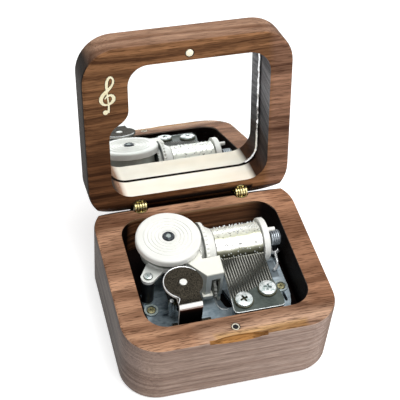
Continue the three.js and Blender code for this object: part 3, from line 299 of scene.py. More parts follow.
def makeWoodFigure():  # grain along X: growth rings round a pith outside the block, fibres and open pores
    tree, given, made = newGroup("woodFigure", ["Place"],  # millimetres
                                 ["Pith Height", "Pith Depth", "Ring Spacing", "Layer Spacing", "Waviness"],
                                 ["Rings", "Layers", "Fibre", "End Fibre", "Pores", "Clouds"])

    def grain(shares, scale, detail, roughness=0.5):  # noise drawn out the way its share is least
        return noise(stretched(given["Place"], shares), scale, detail, roughness)

    def bands(across, along, spacing, detail):  # long lines, about one in each spacing
        place = put("CombineXYZ", {"X": across, "Y": times(along, 0.012)}).outputs[0]
        return noise(place, sums("DIVIDE", 1.0, spacing), detail, 0.6, noise_dimensions="2D")

    drift = minus(grain((0.3, 1.0, 1.0), 0.035, 2.0), 0.5)
    wander = times(times(drift, given["Waviness"]), 4.0)
    parts = partsOf(given["Place"])
    across = minus(parts["Y"], given["Pith Depth"])
    upward = minus(parts["Z"], given["Pith Height"])
    squared = plus(times(across, across), times(upward, upward))
    radius = plus(sums("SQRT", squared), wander)
    height = plus(parts["Z"], times(wander, 0.4))
    sideways = plus(parts["X"], parts["Y"])
    feed(made, {
        "Rings": remap(bands(radius, parts["X"], given["Ring Spacing"], 1.0), 0.36, 0.64),
        "Layers": remap(bands(height, sideways, given["Layer Spacing"], 3.0), 0.32, 0.68),
        "Fibre": grain((0.06, 1.0, 1.0), 1.9, 4.0, 0.72),
        "End Fibre": grain((1.0, 0.06, 1.0), 1.5, 4.0, 0.72),
        "Pores": remap(grain((0.07, 1.0, 1.0), 2.8, 2.0), 0.53, 0.63),
        "Clouds": grain((0.35, 1.0, 1.0), 0.11, 3.0),
    })
    return tree


def makeFaceMasks():  # which way a surface faces, in the piece's own directions
    tree, given, made = newGroup("faceMasks", ["Normal"], [], ["Upper", "Front", "Ends"])
    parts = partsOf(given["Normal"])
    for name, axis, least, most in (("Upper", "Z", 0.55, 0.85), ("Front", "Y", 0.4, 0.8),
                                    ("Ends", "X", 0.35, 0.9)):
        feed(made, {name: remap(sums("ABSOLUTE", parts[axis]), least, most)})
    return tree


def makeAreaMask():  # 1 inside a box, on the surfaces that face one way
    tree, given, made = newGroup("areaMask", ["Place", "Normal", "Low", "High", "Facing"],
                                 ["Soft", "Least", "Most"], ["Mask"])
    above = vectorMath("SUBTRACT", given["Place"], given["Low"])
    below = vectorMath("SUBTRACT", given["High"], given["Place"])
    parts = partsOf(vectorMath("MINIMUM", above, below))
    nearest = sums("MINIMUM", parts["X"], sums("MINIMUM", parts["Y"], parts["Z"]))
    inside = sums("DIVIDE", nearest, given["Soft"], clamp=True)
    squareness = vectorMath("DOT_PRODUCT", given["Normal"], given["Facing"], "Value")
    facing = remap(squareness, given["Least"], given["Most"])
    feed(made, {"Mask": times(inside, facing)})
    return tree


def makeMetalSkin():  # drawn or stamped metal: faint scratches, cloudy tarnish and a little unevenness
    tree, given, made = newGroup("metalSkin", ["Place"], ["Scratch", "Tarnish"], ["Tone", "Gloss", "Height"])
    fine = noise(stretched(given["Place"], (0.25, 1.0, 1.0)), given["Scratch"], 2.0, 0.6)
    cloud = noise(given["Place"], given["Tarnish"], 4.0, 0.6)
    both = plus(times(fine, 0.35), times(cloud, 0.65))
    feed(made, {"Tone": remap(both, 0.35, 0.65), "Gloss": remap(cloud, 0.3, 0.7), "Height": fine})
    return tree


def makeMouldedSkin():  # moulded plastic: slight cloudiness and a fine sparked texture
    tree, given, made = newGroup("mouldedSkin", ["Place"], ["Texture"], ["Tone", "Height"])
    feed(made, {"Tone": noise(given["Place"], 0.12, 3.0),
                "Height": noise(given["Place"], given["Texture"], 2.0)})
    return tree


woodFigure = makeWoodFigure()
faceMasks = makeFaceMasks()
areaMask = makeAreaMask()
metalSkin = makeMetalSkin()
mouldedSkin = makeMouldedSkin()
print("effects ready")


# Materials

def startMaterial(name):
    material = bpy.data.materials.new(name)
    material.use_nodes = True
    shader = material.node_tree.nodes["Principled BSDF"]
    spots = put("TexCoord", {}, material.node_tree).outputs
    place = stretched(spots["Object"], (1 / mm, 1 / mm, 1 / mm))
    return material, shader, place, spots["Normal"]


def skinOf(place, scratch, tarnish):
    return useGroup(metalSkin, {"Place": place, "Scratch": scratch, "Tarnish": tarnish})


def setFinish(shader, tone, roughness, metallic=0.0, specular=0.5):
    feed(shader, {"Base Color": tone, "Roughness": roughness, "Metallic": metallic,
                  "Specular IOR Level": specular})


def bump(shader, height, strength, depth):
    node = put("Bump", {"Height": height, "Strength": strength, "Distance": depth * mm})
    feed(shader, {"Normal": node.outputs["Normal"]})


# Areas that a material paints apart. x, y and z are limits in millimetres, soft is how far in from them the
# area fades, and a facing area takes only the surfaces that look that way as squarely as its limits say
far = 300  # past every surface
squarely = (0.45, 0.8)
directions = {"up": (0, 0, 1), "front": (0, -1, 0), "back": (0, 1, 0), "left": (-1, 0, 0),
              "right": (1, 0, 0), "frontLeft": (-0.6, -0.8, 0), "notch": (0, -0.707, 0.707),
              "rearCut": (0, 0.707, 0.707), "lidFront": (0, -0.97, 0.24), "lidUp": (0, 0.24, 0.97),
              "lidUpLeft": (-0.707, 0.17, 0.686)}


def areaOf(place, normal, area):
    spans = [area.get(axis, (-far, far)) for axis in "xyz"]
    facing, limits = (0, 0, 0), (-2.0, -1.5)  # these let every surface through
    if "facing" in area:
        facing, limits = directions[area["facing"]], area.get("limits", squarely)
    return useGroup(areaMask, {
        "Place": place, "Low": [span[0] for span in spans], "High": [span[1] for span in spans],
        "Soft": area.get("soft", 0.5), "Normal": normal, "Facing": facing, "Least": limits[0],
        "Most": limits[1]})["Mask"]


def painted(tone, share, place, normal, areas):
    for area in areas:
        tone = blend(areaOf(place, normal, area), tone, toneOf(share, area["tones"]))
    return tone


def makeWalnut(name, look):
    material, shader, place, normal = startMaterial(name)
    figure = useGroup(woodFigure, {"Place": place, **look["figure"]})
    masks = useGroup(faceMasks, {"Normal": normal})
    lines = between(masks["Upper"], figure["Layers"], figure["Rings"])
    cloudShare = remap(masks["Upper"], 0.0, 1.0, 0.45, 0.6)
    mixed = remap(between(cloudShare, lines, figure["Clouds"]), 0.2, 0.8)
    # tones by which way a surface looks: partly the grain's own difference, partly painted light and shade
    wood = blend(masks["Front"], toneOf(mixed, look["ends"]), toneOf(mixed, look["front"]))
    wood = blend(masks["Upper"], wood, toneOf(mixed, look["face"]))
    wood = painted(wood, mixed, place, normal, look["areas"])
    upright = minus(1.0, masks["Upper"])
    fibres = between(times(masks["Ends"], upright), figure["Fibre"], figure["End Fibre"])
    fibre = remap(fibres, 0.34, 0.66, *look["fibre"])
    fibreTone = put("CombineColor", {0: fibre, 1: fibre, 2: fibre}).outputs[0]
    wood = blend(1.0, wood, fibreTone, "MULTIPLY")
    poreDepth = between(masks["Upper"], look["sidePores"], look["poreDepth"])
    wood = blend(times(figure["Pores"], poreDepth), wood, colour(*look["pore"]))
    wood = painted(wood, mixed, place, normal, look["plain"])
    setFinish(shader, wood, remap(figure["Fibre"], 0.2, 0.8, *look["roughness"]),
              specular=look["specular"])
    bump(shader, minus(figure["Fibre"], figure["Pores"]), 0.25, 0.08)
    return material


# Tones are the darker and the lighter colour. Areas are painted under the fibres and pores, and plain
# ones over them
# In both woods the face, front and ends tones go with which way a surface looks: partly the grain's own
# difference, partly painted light and shade, with the ends darker as painted shade
caseWood = {
    "face": ((112, 77, 56), (202, 155, 123)),
    "front": ((147, 123, 110), (187, 163, 149)),
    "ends": ((89, 85, 82), (131, 121, 115)),
    "areas": [
        # front face, paler to the right, as painted light
        dict(x=(-10, far), soft=70, facing="front", tones=((176, 150, 138), (206, 184, 172))),
        # left side, its front part, paler as painted light
        dict(x=(-60, -20), y=(-60, -18), soft=14, facing="left", tones=((132, 112, 102), (168, 148, 138))),
        # rim, left and front
        dict(x=(-60, -14), y=(-60, -6), soft=30, facing="up", tones=((140, 100, 76), (206, 160, 126))),
        # rim, along the front
        dict(x=(-16, far), y=(-far, -25), soft=5, facing="up", tones=((140, 106, 84), (208, 168, 140))),
        # rim, along the right
        dict(x=(28, far), y=(-28, far), soft=3, facing="up", tones=((102, 67, 46), (180, 133, 103))),
        # rim, its edge to the front face, golden as a painted highlight
        dict(x=(-9, 26), y=(-far, -31.2), soft=1.8, facing="up", tones=((140, 98, 58), (216, 172, 122))),
        # rear face
        dict(y=(30, far), facing="back", tones=((112, 86, 70), (164, 134, 114))),
        # right side
        dict(x=(32, far), facing="right", tones=((108, 84, 70), (158, 130, 112))),
        # thumb notch, golden as a painted highlight
        dict(x=(-10.6, 10.6), y=(-36, -33.2), z=(26, 29), soft=0.3, facing="notch", limits=(0.73, 0.8),
             tones=((92, 54, 24), (190, 136, 78))),
        # thumb notch, left end, dark as painted shade on its wall
        dict(x=(-11, -5.5), y=(-36, -33.4), z=(26, 29), soft=2.2, facing="notch", limits=(0.73, 0.8),
             tones=((38, 18, 8), (92, 54, 26))),
        # thumb notch, right end, dark as painted shade on its wall
        dict(x=(5, 11), y=(-36, -33.4), z=(26, 29), soft=2.4, facing="notch", limits=(0.73, 0.8),
             tones=((38, 18, 8), (92, 54, 26))),
        # rear wall of the cavity
        dict(x=(-30.2, 31), y=(18, 25.8), z=(8, 28.2), soft=0.3, facing="front",
             tones=((72, 42, 26), (170, 116, 80))),
        # upper edge of that wall
        dict(x=(-30, 31), y=(21, 25.8), z=(27, 28.6), facing="front",
             tones=((120, 84, 56), (196, 152, 114))),
    ],
    "plain": [
        # walls and floor of the cavity, all but the rear wall, near black as painted shade
        dict(x=(-30.4, 31.2), y=(-26.1, 26.1), z=(8, 28), soft=0.3, facing="back", limits=(-0.97, -0.8),
             tones=((5, 2, 2), (22, 12, 8))),
        # rear wall of the cavity, to the right, darkened as painted shade
        dict(x=(17, far), y=(0, far), soft=10, facing="front", tones=((5, 2, 2), (24, 13, 9))),
        # slanting cut at the rear, darkened as painted shade in the hinge gap
        dict(y=(28.6, 36), z=(22, 28.8), soft=0.8, facing="rearCut", limits=(0.86, 0.97),
             tones=((60, 42, 30), (104, 78, 60))),
    ],
    "pore": (58, 32, 20),
    "poreDepth": 0.62,
    "sidePores": 0.25,
    "fibre": (0.74, 1.16),
    "figure": {"Pith Height": -50, "Pith Depth": 30, "Ring Spacing": 3, "Layer Spacing": 1.5,
               "Waviness": 2.6},
    "roughness": (0.5, 0.65),
    "specular": 0.05,
}
lidWood = {
    "face": ((122, 86, 64), (186, 148, 122)),
    "front": ((84, 54, 34), (160, 114, 78)),
    # ends: near black, painted shade on the lid's sides
    "ends": ((16, 13, 10), (46, 36, 26)),
    "areas": [
        # inner face, darker to the left and below, as painted shade
        dict(x=(-far, 24), z=(-far, 76), soft=26, facing="lidFront", tones=((48, 27, 14), (112, 74, 48))),
        # inner face, paler along the right, as painted light
        dict(x=(29, far), soft=3, facing="lidFront", tones=((84, 56, 42), (174, 130, 104))),
        # right end
        dict(x=(32, far), facing="right", tones=((88, 60, 42), (146, 106, 78))),
        # right wall of the recess, dark grey as painted shade
        dict(x=(20, 31.5), y=(30, 64), z=(22, 92), soft=0.4, facing="left", limits=(0.15, 0.5),
             tones=((40, 38, 37), (84, 82, 82))),
        # right wall of the recess, paler higher up as painted light
        dict(x=(0, far), z=(46, far), soft=18, facing="left", limits=(0.3, 0.6),
             tones=((104, 104, 108), (168, 168, 172))),
    ],
    "plain": [
        # corner of the recess, lower right, dark as painted shade
        dict(x=(16, 31.5), y=(30, 64), z=(22, 48), soft=3, facing="lidUpLeft", limits=(0.1, 0.5),
             tones=((24, 12, 7), (74, 46, 28))),
        # lower wall of the recess, near white as painted light
        dict(x=(-31.5, 31.5), y=(30, 64), z=(22, 60), soft=0.4, facing="lidUp", limits=(0.86, 0.975),
             tones=((238, 222, 198), (255, 252, 242))),
        # dark line on the lower wall, a painted shadow along the mirror's lower edge
        dict(x=(-32, 32), y=(42, 45.5), z=(26, 34.5), soft=0.25, facing="lidUp", limits=(0.2, 0.5),
             tones=((6, 3, 2), (22, 12, 8))),
        # foot of the lid, between the hinges, dark as painted shade
        dict(x=(-19, 25), y=(20, 36), z=(28, 31.4), soft=0.8, tones=((8, 4, 3), (26, 15, 10))),
    ],
    "pore": (50, 28, 16),
    "poreDepth": 0.5,
    "sidePores": 0.5,
    "fibre": (0.74, 1.18),
    "figure": {"Pith Height": 150, "Pith Depth": 100, "Ring Spacing": 3.4, "Layer Spacing": 2.6,
               "Waviness": 5},
    "roughness": (0.5, 0.65),
    "specular": 0.05,
}


def makeMetal(name, look):
    material, shader, place, normal = startMaterial(name)
    look = {**metalDefaults, **look}
    skin = skinOf(place, look["scratch"], look["tarnish"])
    tone = toneOf(skin["Tone"], look["tones"])
    metallic = look["metallic"]
    for area in look["areas"]:
        mask = areaOf(place, normal, area)
        tone = blend(mask, tone, toneOf(skin["Tone"], area["tones"]))
        metallic = between(mask, metallic, area.get("metallic", 0.15))
    setFinish(shader, tone, remap(skin["Gloss"], 0.0, 1.0, *look["roughness"]), metallic,
              look["specular"])
    bump(shader, skin["Height"], 0.2, look["relief"])
    return material


metalDefaults = dict(metallic=0.3, specular=0.5, roughness=(0.3, 0.45), scratch=3, tarnish=0.8, relief=0.01,
                     areas=())
metalLooks = {
    "steel": dict(tones=((160, 164, 166), (226, 228, 228)), metallic=1, roughness=(0.16, 0.32), tarnish=0.5),
    "paleSteel": dict(tones=((176, 182, 184), (244, 248, 248)), roughness=(0.25, 0.4)),
    "brightSteel": dict(tones=((226, 230, 232), (255, 255, 255)), metallic=0.4, roughness=(0.2, 0.3)),
    "screwSteel": dict(tones=((150, 170, 166), (250, 252, 252)), metallic=0.6, roughness=(0.2, 0.36),
        scratch=2, tarnish=0.7),
    # recess: dark, painted shade inside the screws' crosses and round their seats
    "recess": dict(tones=((30, 30, 24), (104, 104, 82)), specular=0.2, roughness=(0.4, 0.6), scratch=5,
        tarnish=1.2),
    "softRecess": dict(tones=((96, 112, 110), (206, 216, 214)), roughness=(0.4, 0.6), scratch=5,
        tarnish=1.6),
    "darkSteel": dict(tones=((24, 22, 20), (78, 74, 66)), specular=0.2, roughness=(0.4, 0.6), scratch=7,
        tarnish=1.4, relief=0.03),
    "springSteel": dict(tones=((70, 78, 92), (112, 120, 136)), metallic=1, roughness=(0.25, 0.4), scratch=4,
        tarnish=0.5),
    "zinc": dict(tones=((40, 54, 66), (176, 194, 204)), specular=0.3, roughness=(0.3, 0.55), scratch=0.9,
        tarnish=0.16, relief=0.03, areas=[
        # plate, paler to the right, as painted light
        dict(x=(-10, far), soft=8, facing="up", tones=((140, 160, 172), (216, 230, 238)), metallic=0.2),
        # left front part above the plate, in shade
        dict(x=(-27.5, -18.5), y=(-9, 4), z=(14.2, 27), tones=((7, 8, 10), (46, 50, 54))),
        # round the left mounting screw
        dict(x=(-28, -20.5), y=(-12, -2.8), z=(14.3, 15), soft=0.15,
             tones=((150, 170, 166), (214, 226, 222))),
        # round the right mounting screw
        dict(x=(22, 29.5), y=(-11, -1.5), z=(14.3, 15), soft=0.15, tones=((150, 170, 172), (222, 232, 232))),
        # inside the oval opening, black as painted shade
        dict(x=(0.4, 6), y=(-11.8, -3), z=(13, 14.2), tones=((6, 6, 8), (24, 24, 28)), metallic=0),
        # under the right bearing, black as painted shade
        dict(x=(20, 27.2), y=(-1.5, 7), z=(13, 14.2), tones=((6, 6, 8), (24, 24, 28)), metallic=0),
    ]),
    "brass": dict(tones=((112, 98, 56), (214, 202, 150)), metallic=1, roughness=(0.2, 0.36), scratch=4,
        tarnish=0.6),
    "oliveBrass": dict(tones=((62, 60, 30), (206, 200, 150)), metallic=0.4, roughness=(0.3, 0.5), tarnish=1,
        relief=0.02),
    "magnetFace": dict(tones=((246, 238, 208), (255, 250, 230)), metallic=0.2, roughness=(0.2, 0.3),
        scratch=4, relief=0.005),
    "magnetRim": dict(tones=((206, 190, 152), (255, 252, 240)), metallic=0.2, roughness=(0.3, 0.4),
        scratch=4, tarnish=1.2, relief=0.005),
    "inlay": dict(tones=((226, 214, 172), (250, 244, 214)), metallic=0.25, roughness=(0.25, 0.4), scratch=4),
    "bushingSteel": dict(tones=((150, 158, 166), (206, 214, 220)), scratch=0.6, tarnish=0.2, relief=0.005),
    "arborSteel": dict(tones=((40, 44, 48), (92, 98, 104)), specular=0.3, tarnish=0.9),
    # black: the magnet core's own colour, and painted shade on the worm shaft and the bushing's grooves and
    # stem
    "blackAndShade": dict(tones=((10, 10, 12), (46, 46, 50)), specular=0.15, metallic=0.2, roughness=(0.4, 0.6),
        scratch=5),
}


# Bands of light and dark that the room makes on the bright sleeve, in degrees up from the front. They stay
# where they are as it turns. Shine says how metallic each is, as a grey from black at 0 to white at 1
nickelLook = {
    "bands": ((-30, (14, 14, 10)), (0, (36, 36, 25)), (14, (56, 56, 40)), (26, (88, 88, 68)),
              (34, (150, 150, 128)), (40, (250, 250, 244)), (61, (255, 255, 255)), (70, (208, 208, 188)),
              (76, (172, 173, 150)), (83, (210, 211, 196)), (92, (248, 249, 240)), (140, (238, 239, 228))),
    "shine": ((0, 0.2), (30, 0.2), (41, 0.85), (60, 0.85), (74, 0.4), (92, 0.6), (140, 0.5)),
    # dark specks: painted shadows of the pins
    "pinShadow": (48, 48, 38),
    "uneven": 0.09,  # how far the bands waver, in radians
    "roughness": (0.25, 0.4),
}


def makeNickel(look):
    material, shader, place = startMaterial("nickel")[:3]
    skin = skinOf(place, 3.0, 0.3)
    sides = partsOf(put("NewGeometry", {}, material.node_tree).outputs["Normal"])
    turn = sums("ARCTAN2", sides["Z"], times(sides["Y"], -1.0))
    uneven = times(minus(skin["Tone"], 0.5), look["uneven"])
    share = remap(plus(turn, uneven), -math.pi, math.pi)
    bands = rampOf(share, [(degrees / 360 + 0.5, tone) for degrees, tone in look["bands"]])
    shine = rampOf(share, [(degrees / 360 + 0.5, 3 * (255 * level,)) for degrees, level in look["shine"]])
    # dark specks, painted shadows of the pins
    pinShadows = remap(noise(stretched(place, (0.8, 1.0, 1.0)), 1.3, 1.0, 0.4), 0.65, 0.69)
    tone = blend(times(pinShadows, 0.75), bands, colour(*look["pinShadow"]))
    setFinish(shader, tone, remap(skin["Gloss"], 0.0, 1.0, *look["roughness"]), shine)
    bump(shader, skin["Height"], 0.1, 0.01)
    return material


# Governor bracket: speckled black plate, bare steel along its sheared edges and its bend with painted
# highlights on them, and painted shade near the bend and down the leg
bracketLook = {
    "plate": ((14, 12, 10), (88, 82, 70)),
    "nearBendShade": (8, 7, 6),
    "shade": (-22.4, -18.4),  # from the bend back, Y in millimetres
    "legStart": (-21.6, -22.0),
    "edge": ((232, 230, 222), (255, 255, 252)),
    "rightEdgeShade": (112, 112, 108),
    "bend": ((0.0, (30, 14, 8)), (0.1, (110, 74, 60)), (0.24, (236, 220, 210)), (0.34, (96, 60, 46)),
             (0.44, (252, 251, 248)), (0.9, (255, 254, 250)), (0.97, (24, 20, 16))),
    "legShading": ((0.0, (1, 1, 1)), (0.45, (10, 4, 3)), (0.68, (34, 15, 10)), (0.84, (104, 70, 58)),
            (1.0, (206, 182, 170))),
    "legHeights": (30.6, 33.4),
    "roughness": (0.45, 0.6),
}


def makeBracket(look):
    material, shader, place, normal = startMaterial("bracketSteel")
    skin = skinOf(place, 4.0, 1.6)
    sides = partsOf(normal)
    where = partsOf(place)
    speckle = remap(noise(place, 3.4, 2.0, 0.6), 0.36, 0.7)
    plate = toneOf(speckle, look["plate"])
    plate = blend(remap(where["Y"], *look["shade"], 0.8, 0.0), plate, colour(*look["nearBendShade"]))
    # sheared edges: bare steel with a painted highlight, greyer where they face right as painted shade
    edge = toneOf(skin["Tone"], look["edge"])
    edge = blend(remap(sides["X"], 0.1, 0.5), edge, colour(*look["rightEdgeShade"]))
    # bend: a painted white highlight between darker lines; leg: painted shade, black at its foot
    bend = rampOf(sides["Z"], look["bend"])
    legShading = rampOf(remap(where["Z"], *look["legHeights"]), look["legShading"])
    front = remap(sides["Y"], -0.1, -0.3)
    onLeg = remap(where["Y"], *look["legStart"])
    sideways = remap(sums("ABSOLUTE", sides["X"]), 0.3, 0.5)
    upper = remap(sides["Z"], 0.93, 0.98)
    upright = remap(sides["Z"], 0.12, 0.04)
    tone = blend(upper, edge, plate)
    frontTone = blend(upright, bend, legShading)
    isFront = times(front, minus(1.0, sideways))
    isFront = times(isFront, onLeg)
    tone = blend(isFront, tone, frontTone)
    setFinish(shader, tone, remap(skin["Gloss"], 0.0, 1.0, *look["roughness"]), specular=0.04)
    bump(shader, speckle, 0.2, 0.02)
    return material


# Comb: dark steel, with a painted highlight along the left edge of every tooth. Start, pitch, root and tips
# are in millimetres, and the highlight's share and fade are parts of the pitch
combLook = {
    "plain": ((60, 68, 64), (92, 100, 95)),
    "teeth": ((46, 47, 42), (54, 55, 49)),
    "edge": ((168, 168, 160), (184, 184, 176)),
    "tip": ((120, 120, 110), (190, 190, 178)),
    "start": 2.5,
    "pitch": 0.98,
    "highlightShare": 0.28,
    "highlightFade": 0.06,
    "rootSlope": (-0.342, 1.0, 0.0),
    "root": (-18.0, -17.8),
    "tips": (0.9, 1.2),
    "roughness": (0.36, 0.5),
}


def makeComb(look):
    material, shader, place, normal = startMaterial("combSteel")
    skin = skinOf(place, 3.0, 0.2)
    where = partsOf(place)
    sides = partsOf(normal)
    plain, teeth, edge, tip = (toneOf(skin["Tone"], look[part]) for part in ("plain", "teeth", "edge", "tip"))
    onTeeth = remap(vectorMath("DOT_PRODUCT", place, look["rootSlope"], "Value"), *look["root"])
    step = sums("DIVIDE", minus(where["X"], look["start"]), look["pitch"])
    step = sums("FRACT", step)
    share, fade = look["highlightShare"], look["highlightFade"]
    # the left edge of each tooth gets a painted highlight
    onHighlight = sums("MAXIMUM", remap(step, share + fade, share - fade),
                  remap(sides["X"], -0.25, -0.4))
    teeth = blend(remap(where["Y"], *look["tips"]), blend(onHighlight, teeth, edge), tip)
    setFinish(shader, blend(onTeeth, plain, teeth),
              remap(skin["Gloss"], 0.0, 1.0, *look["roughness"]), between(onTeeth, 0.35, 0.1), 0.2)
    bump(shader, skin["Height"], 0.15, 0.01)
    return material


def makePlastic(name, look):
    material, shader, place, normal = startMaterial(name)
    look = {**plasticDefaults, **look}
    skin = useGroup(mouldedSkin, {"Place": place, "Texture": look["texture"]})
    tone = toneOf(skin["Tone"], look["tones"])
    tone = painted(tone, skin["Tone"], place, normal, look["areas"])
    setFinish(shader, tone, remap(skin["Height"], 0.2, 0.8, *look["roughness"]), look["metallic"],
              look["specular"])
    bump(shader, skin["Height"], 0.15, look["relief"])
    return material


plasticDefaults = dict(metallic=0, specular=0.5, roughness=(0.34, 0.48), texture=6, relief=0.03, areas=())
plasticLooks = {
    "sealant": dict(tones=((244, 245, 245), (255, 255, 255)), metallic=0.8, texture=2, roughness=(0.1, 0.2),
        relief=0.01),
    "whitePlastic": dict(tones=((240, 241, 234), (252, 252, 248))),
    "housingPlastic": dict(tones=((182, 187, 180), (206, 210, 203)), specular=0.3, roughness=(0.4, 0.55),
        areas=[
        # front of the drum, grey as painted shade
        dict(x=(-30, 0), y=(-12, 25), z=(28.6, 34), soft=0.3, facing="front", limits=(0, 0.5),
             tones=((102, 106, 100), (134, 137, 130))),
        # top of the ear, paler as painted light
        dict(x=(-30, -8), y=(-12, 4), z=(24, 28.6), soft=0.2, facing="up",
             tones=((222, 226, 220), (242, 245, 240))),
        # side of the ear, near white as a painted highlight
        dict(x=(-30, -8), y=(-12, 4), z=(24, 28.6), soft=0.2, facing="frontLeft", limits=(0.2, 0.4),
             tones=((250, 251, 248), (255, 255, 255))),
    ]),
    "coverPlastic": dict(tones=((240, 241, 230), (254, 254, 244)), specular=0.3, areas=[
        # front of the cover, grey as painted shade
        dict(x=(-12, 4), y=(-12, 6), z=(16, 30.6), soft=0.3, facing="front", limits=(0.4, 0.7),
             tones=((150, 158, 160), (190, 197, 196))),
    ]),
    "gearPlastic": dict(tones=((240, 241, 234), (252, 252, 248)), relief=0.02, areas=[
        # every surface that faces left, grey as painted shade
        dict(x=(-30, 60), y=(-30, 60), z=(0, 60), facing="left", limits=(0.6, 0.85),
             tones=((96, 100, 98), (140, 144, 140))),
    ]),
    # near black, for the bar that stands for shade in the hinge gap
    "gapShade": dict(tones=((14, 9, 7), (30, 20, 15)), specular=0.05, texture=9, roughness=(0.85, 0.95),
        relief=0.05),
    "greyPlastic": dict(tones=((120, 122, 118), (150, 152, 146)), roughness=(0.4, 0.55)),
}


mirrorLook = {"tones": ((232, 236, 236), (246, 248, 248)), "roughness": (0.01, 0.03)}


def makeMirror(look):
    material, shader, place = startMaterial("mirror")[:3]
    haze = noise(place, 0.2, 2.0)
    setFinish(shader, toneOf(haze, look["tones"]), remap(haze, 0.3, 0.7, *look["roughness"]), 1.0)
    return material


materials = {
    **{name: makeMetal(name, look) for name, look in metalLooks.items()},
    **{name: makePlastic(name, look) for name, look in plasticLooks.items()},
    "caseWood": makeWalnut("caseWood", caseWood),
    "lidWood": makeWalnut("lidWood", lidWood),
    "mirror": makeMirror(mirrorLook),
    "nickel": makeNickel(nickelLook),
    "bracketSteel": makeBracket(bracketLook),
    "combSteel": makeComb(combLook),
}
print("materials ready")


# Each finish, with the solids that are carried over in it and the width of their softened edges
carried = {
    "caseWood": {"case_body": 0.35},
    "lidWood": {"lid_frame": 0.35},
    "mirror": {"lid_mirror": 0.0},
    "inlay": {"treble_clef": 0.0},
    "magnetFace": {"lid_magnet": 0.15},
    "brass": {"left_case_barrel": 0.1, "right_case_barrel": 0.1, "left_lid_barrel": 0.1,
              "right_lid_barrel": 0.1, "left_hinge_pin": 0.05, "right_hinge_pin": 0.05, "worm_wheel": 0.05},
    "zinc": {"bedplate": 0.15},
    "housingPlastic": {"spring_housing": 0.15},
    "springSteel": {"mainspring": 0.04, "clutch_spring": 0.04},
    "steel": {"winding_key": 0.25, "cylinder_shaft": 0.08, "stop_post": 0.15},
    "gearPlastic": {"cylinder_gear": 0.08},
    "whitePlastic": {"cylinder_end_cap": 0.15, "governor_bearing": 0.1},
    "combSteel": {"comb": 0.1},
    "greyPlastic": {"idler_gear": 0.05, "governor_wings": 0.08},
    "darkSteel": {"idler_shaft": 0.08, "shaft_bracket": 0.08},
    # the worm shaft behind the cover's window is black as painted shade
    "blackAndShade": {"worm_shaft": 0.03},
    "bracketSteel": {"governor_bracket": 0.32},
    "coverPlastic": {"gear_cover": 0.18},
}


def dressSolids():
    for finish, widths in carried.items():
        for node, width in widths.items():
            piece = frame["nodes"][node]
            piece.data.materials.clear()
            piece.data.materials.append(materials[finish])
            softEdges(piece, width)
    print("solids dressed")


# Screws: a turned head with a cross recess, in place of each plain one. The dome is in millimetres, the step
# a share of the head's height, and the lip a share of its radius
screwKinds = {
    "comb": {"finish": "screwSteel", "slot": "steel", "dome": 0.3, "step": 0.42, "lip": 0.9},
    "mounting": {"finish": "oliveBrass", "slot": "brass", "dome": 0.2, "step": 0.3, "lip": 0.95},
    "housing": {"finish": "screwSteel", "slot": "steel", "dome": 0.2, "step": 0.3, "lip": 0.9},
    "bracket": {"finish": "darkSteel", "slot": "dark_steel", "dome": 0.2, "step": 0.3, "lip": 0.92},
}
screws = {  # how far each cross is turned, in degrees, and the tone inside it: recess is dark, painted shade in the cross, softRecess paler
    "comb_screw_left": (20, "recess"),
    "comb_screw_right": (70, "softRecess"),
    "mounting_screw_left": (35, "recess"),
    "mounting_screw_right": (5, "recess"),
    "mounting_screw_rear": (50, "recess"),
    "housing_screw": (15, "softRecess"),
    "housing_screw_rear": (60, "softRecess"),
    "bracket_screw": (40, "recess"),
}
# Head height, shank, arm and half its width are shares of the head's radius, the tip is one of the shank's,
# and the sink is one of the head's height
screwShape = {"sides": 48, "headShare": 0.43, "shankShare": 0.43, "tipShare": 0.6, "armShare": 0.5,
              "halfShare": 0.13, "sink": 0.6, "taper": 0.72, "edge": 0.08, "seatEdge": 0.12, "lipEdge": 0.05}


def screwProfile(low, top, radius, seat, kind):
    head, shank = radius * screwShape["headShare"], radius * screwShape["shankShare"]
    lip = radius * kind["lip"]
    edge, seatEdge, lipEdge = screwShape["edge"], screwShape["seatEdge"], screwShape["lipEdge"]
    return [(0, low), (shank * screwShape["tipShare"], low), (shank, low + shank), (shank, top - head),
            (radius - edge, top - head), (radius, top - head + edge), (radius, seat - seatEdge),
            (radius - seatEdge, seat), (lip + lipEdge, seat), (lip, seat + lipEdge),
            *quarter(0, top - kind["dome"], lip, kind["dome"], 6)]


def crossCutter(name, place, arm, half, deep, degrees):
    work = bmesh.new()
    for across, along in ((arm, half), (half, arm)):
        for corner in block(work, (-across, -along, -deep), (across, along, 1.0)):
            if corner.co.z < 0:  # the recess narrows as it goes down
                corner.co.x *= screwShape["taper"]
                corner.co.y *= screwShape["taper"]
    cutter = bpy.data.objects.new(name, meshOf(name, work))
    scene.collection.objects.link(cutter)
    cutter.matrix_world = Matrix.Translation(place * mm) @ Matrix.Rotation(math.radians(degrees), 4, "Z")
    return cutter


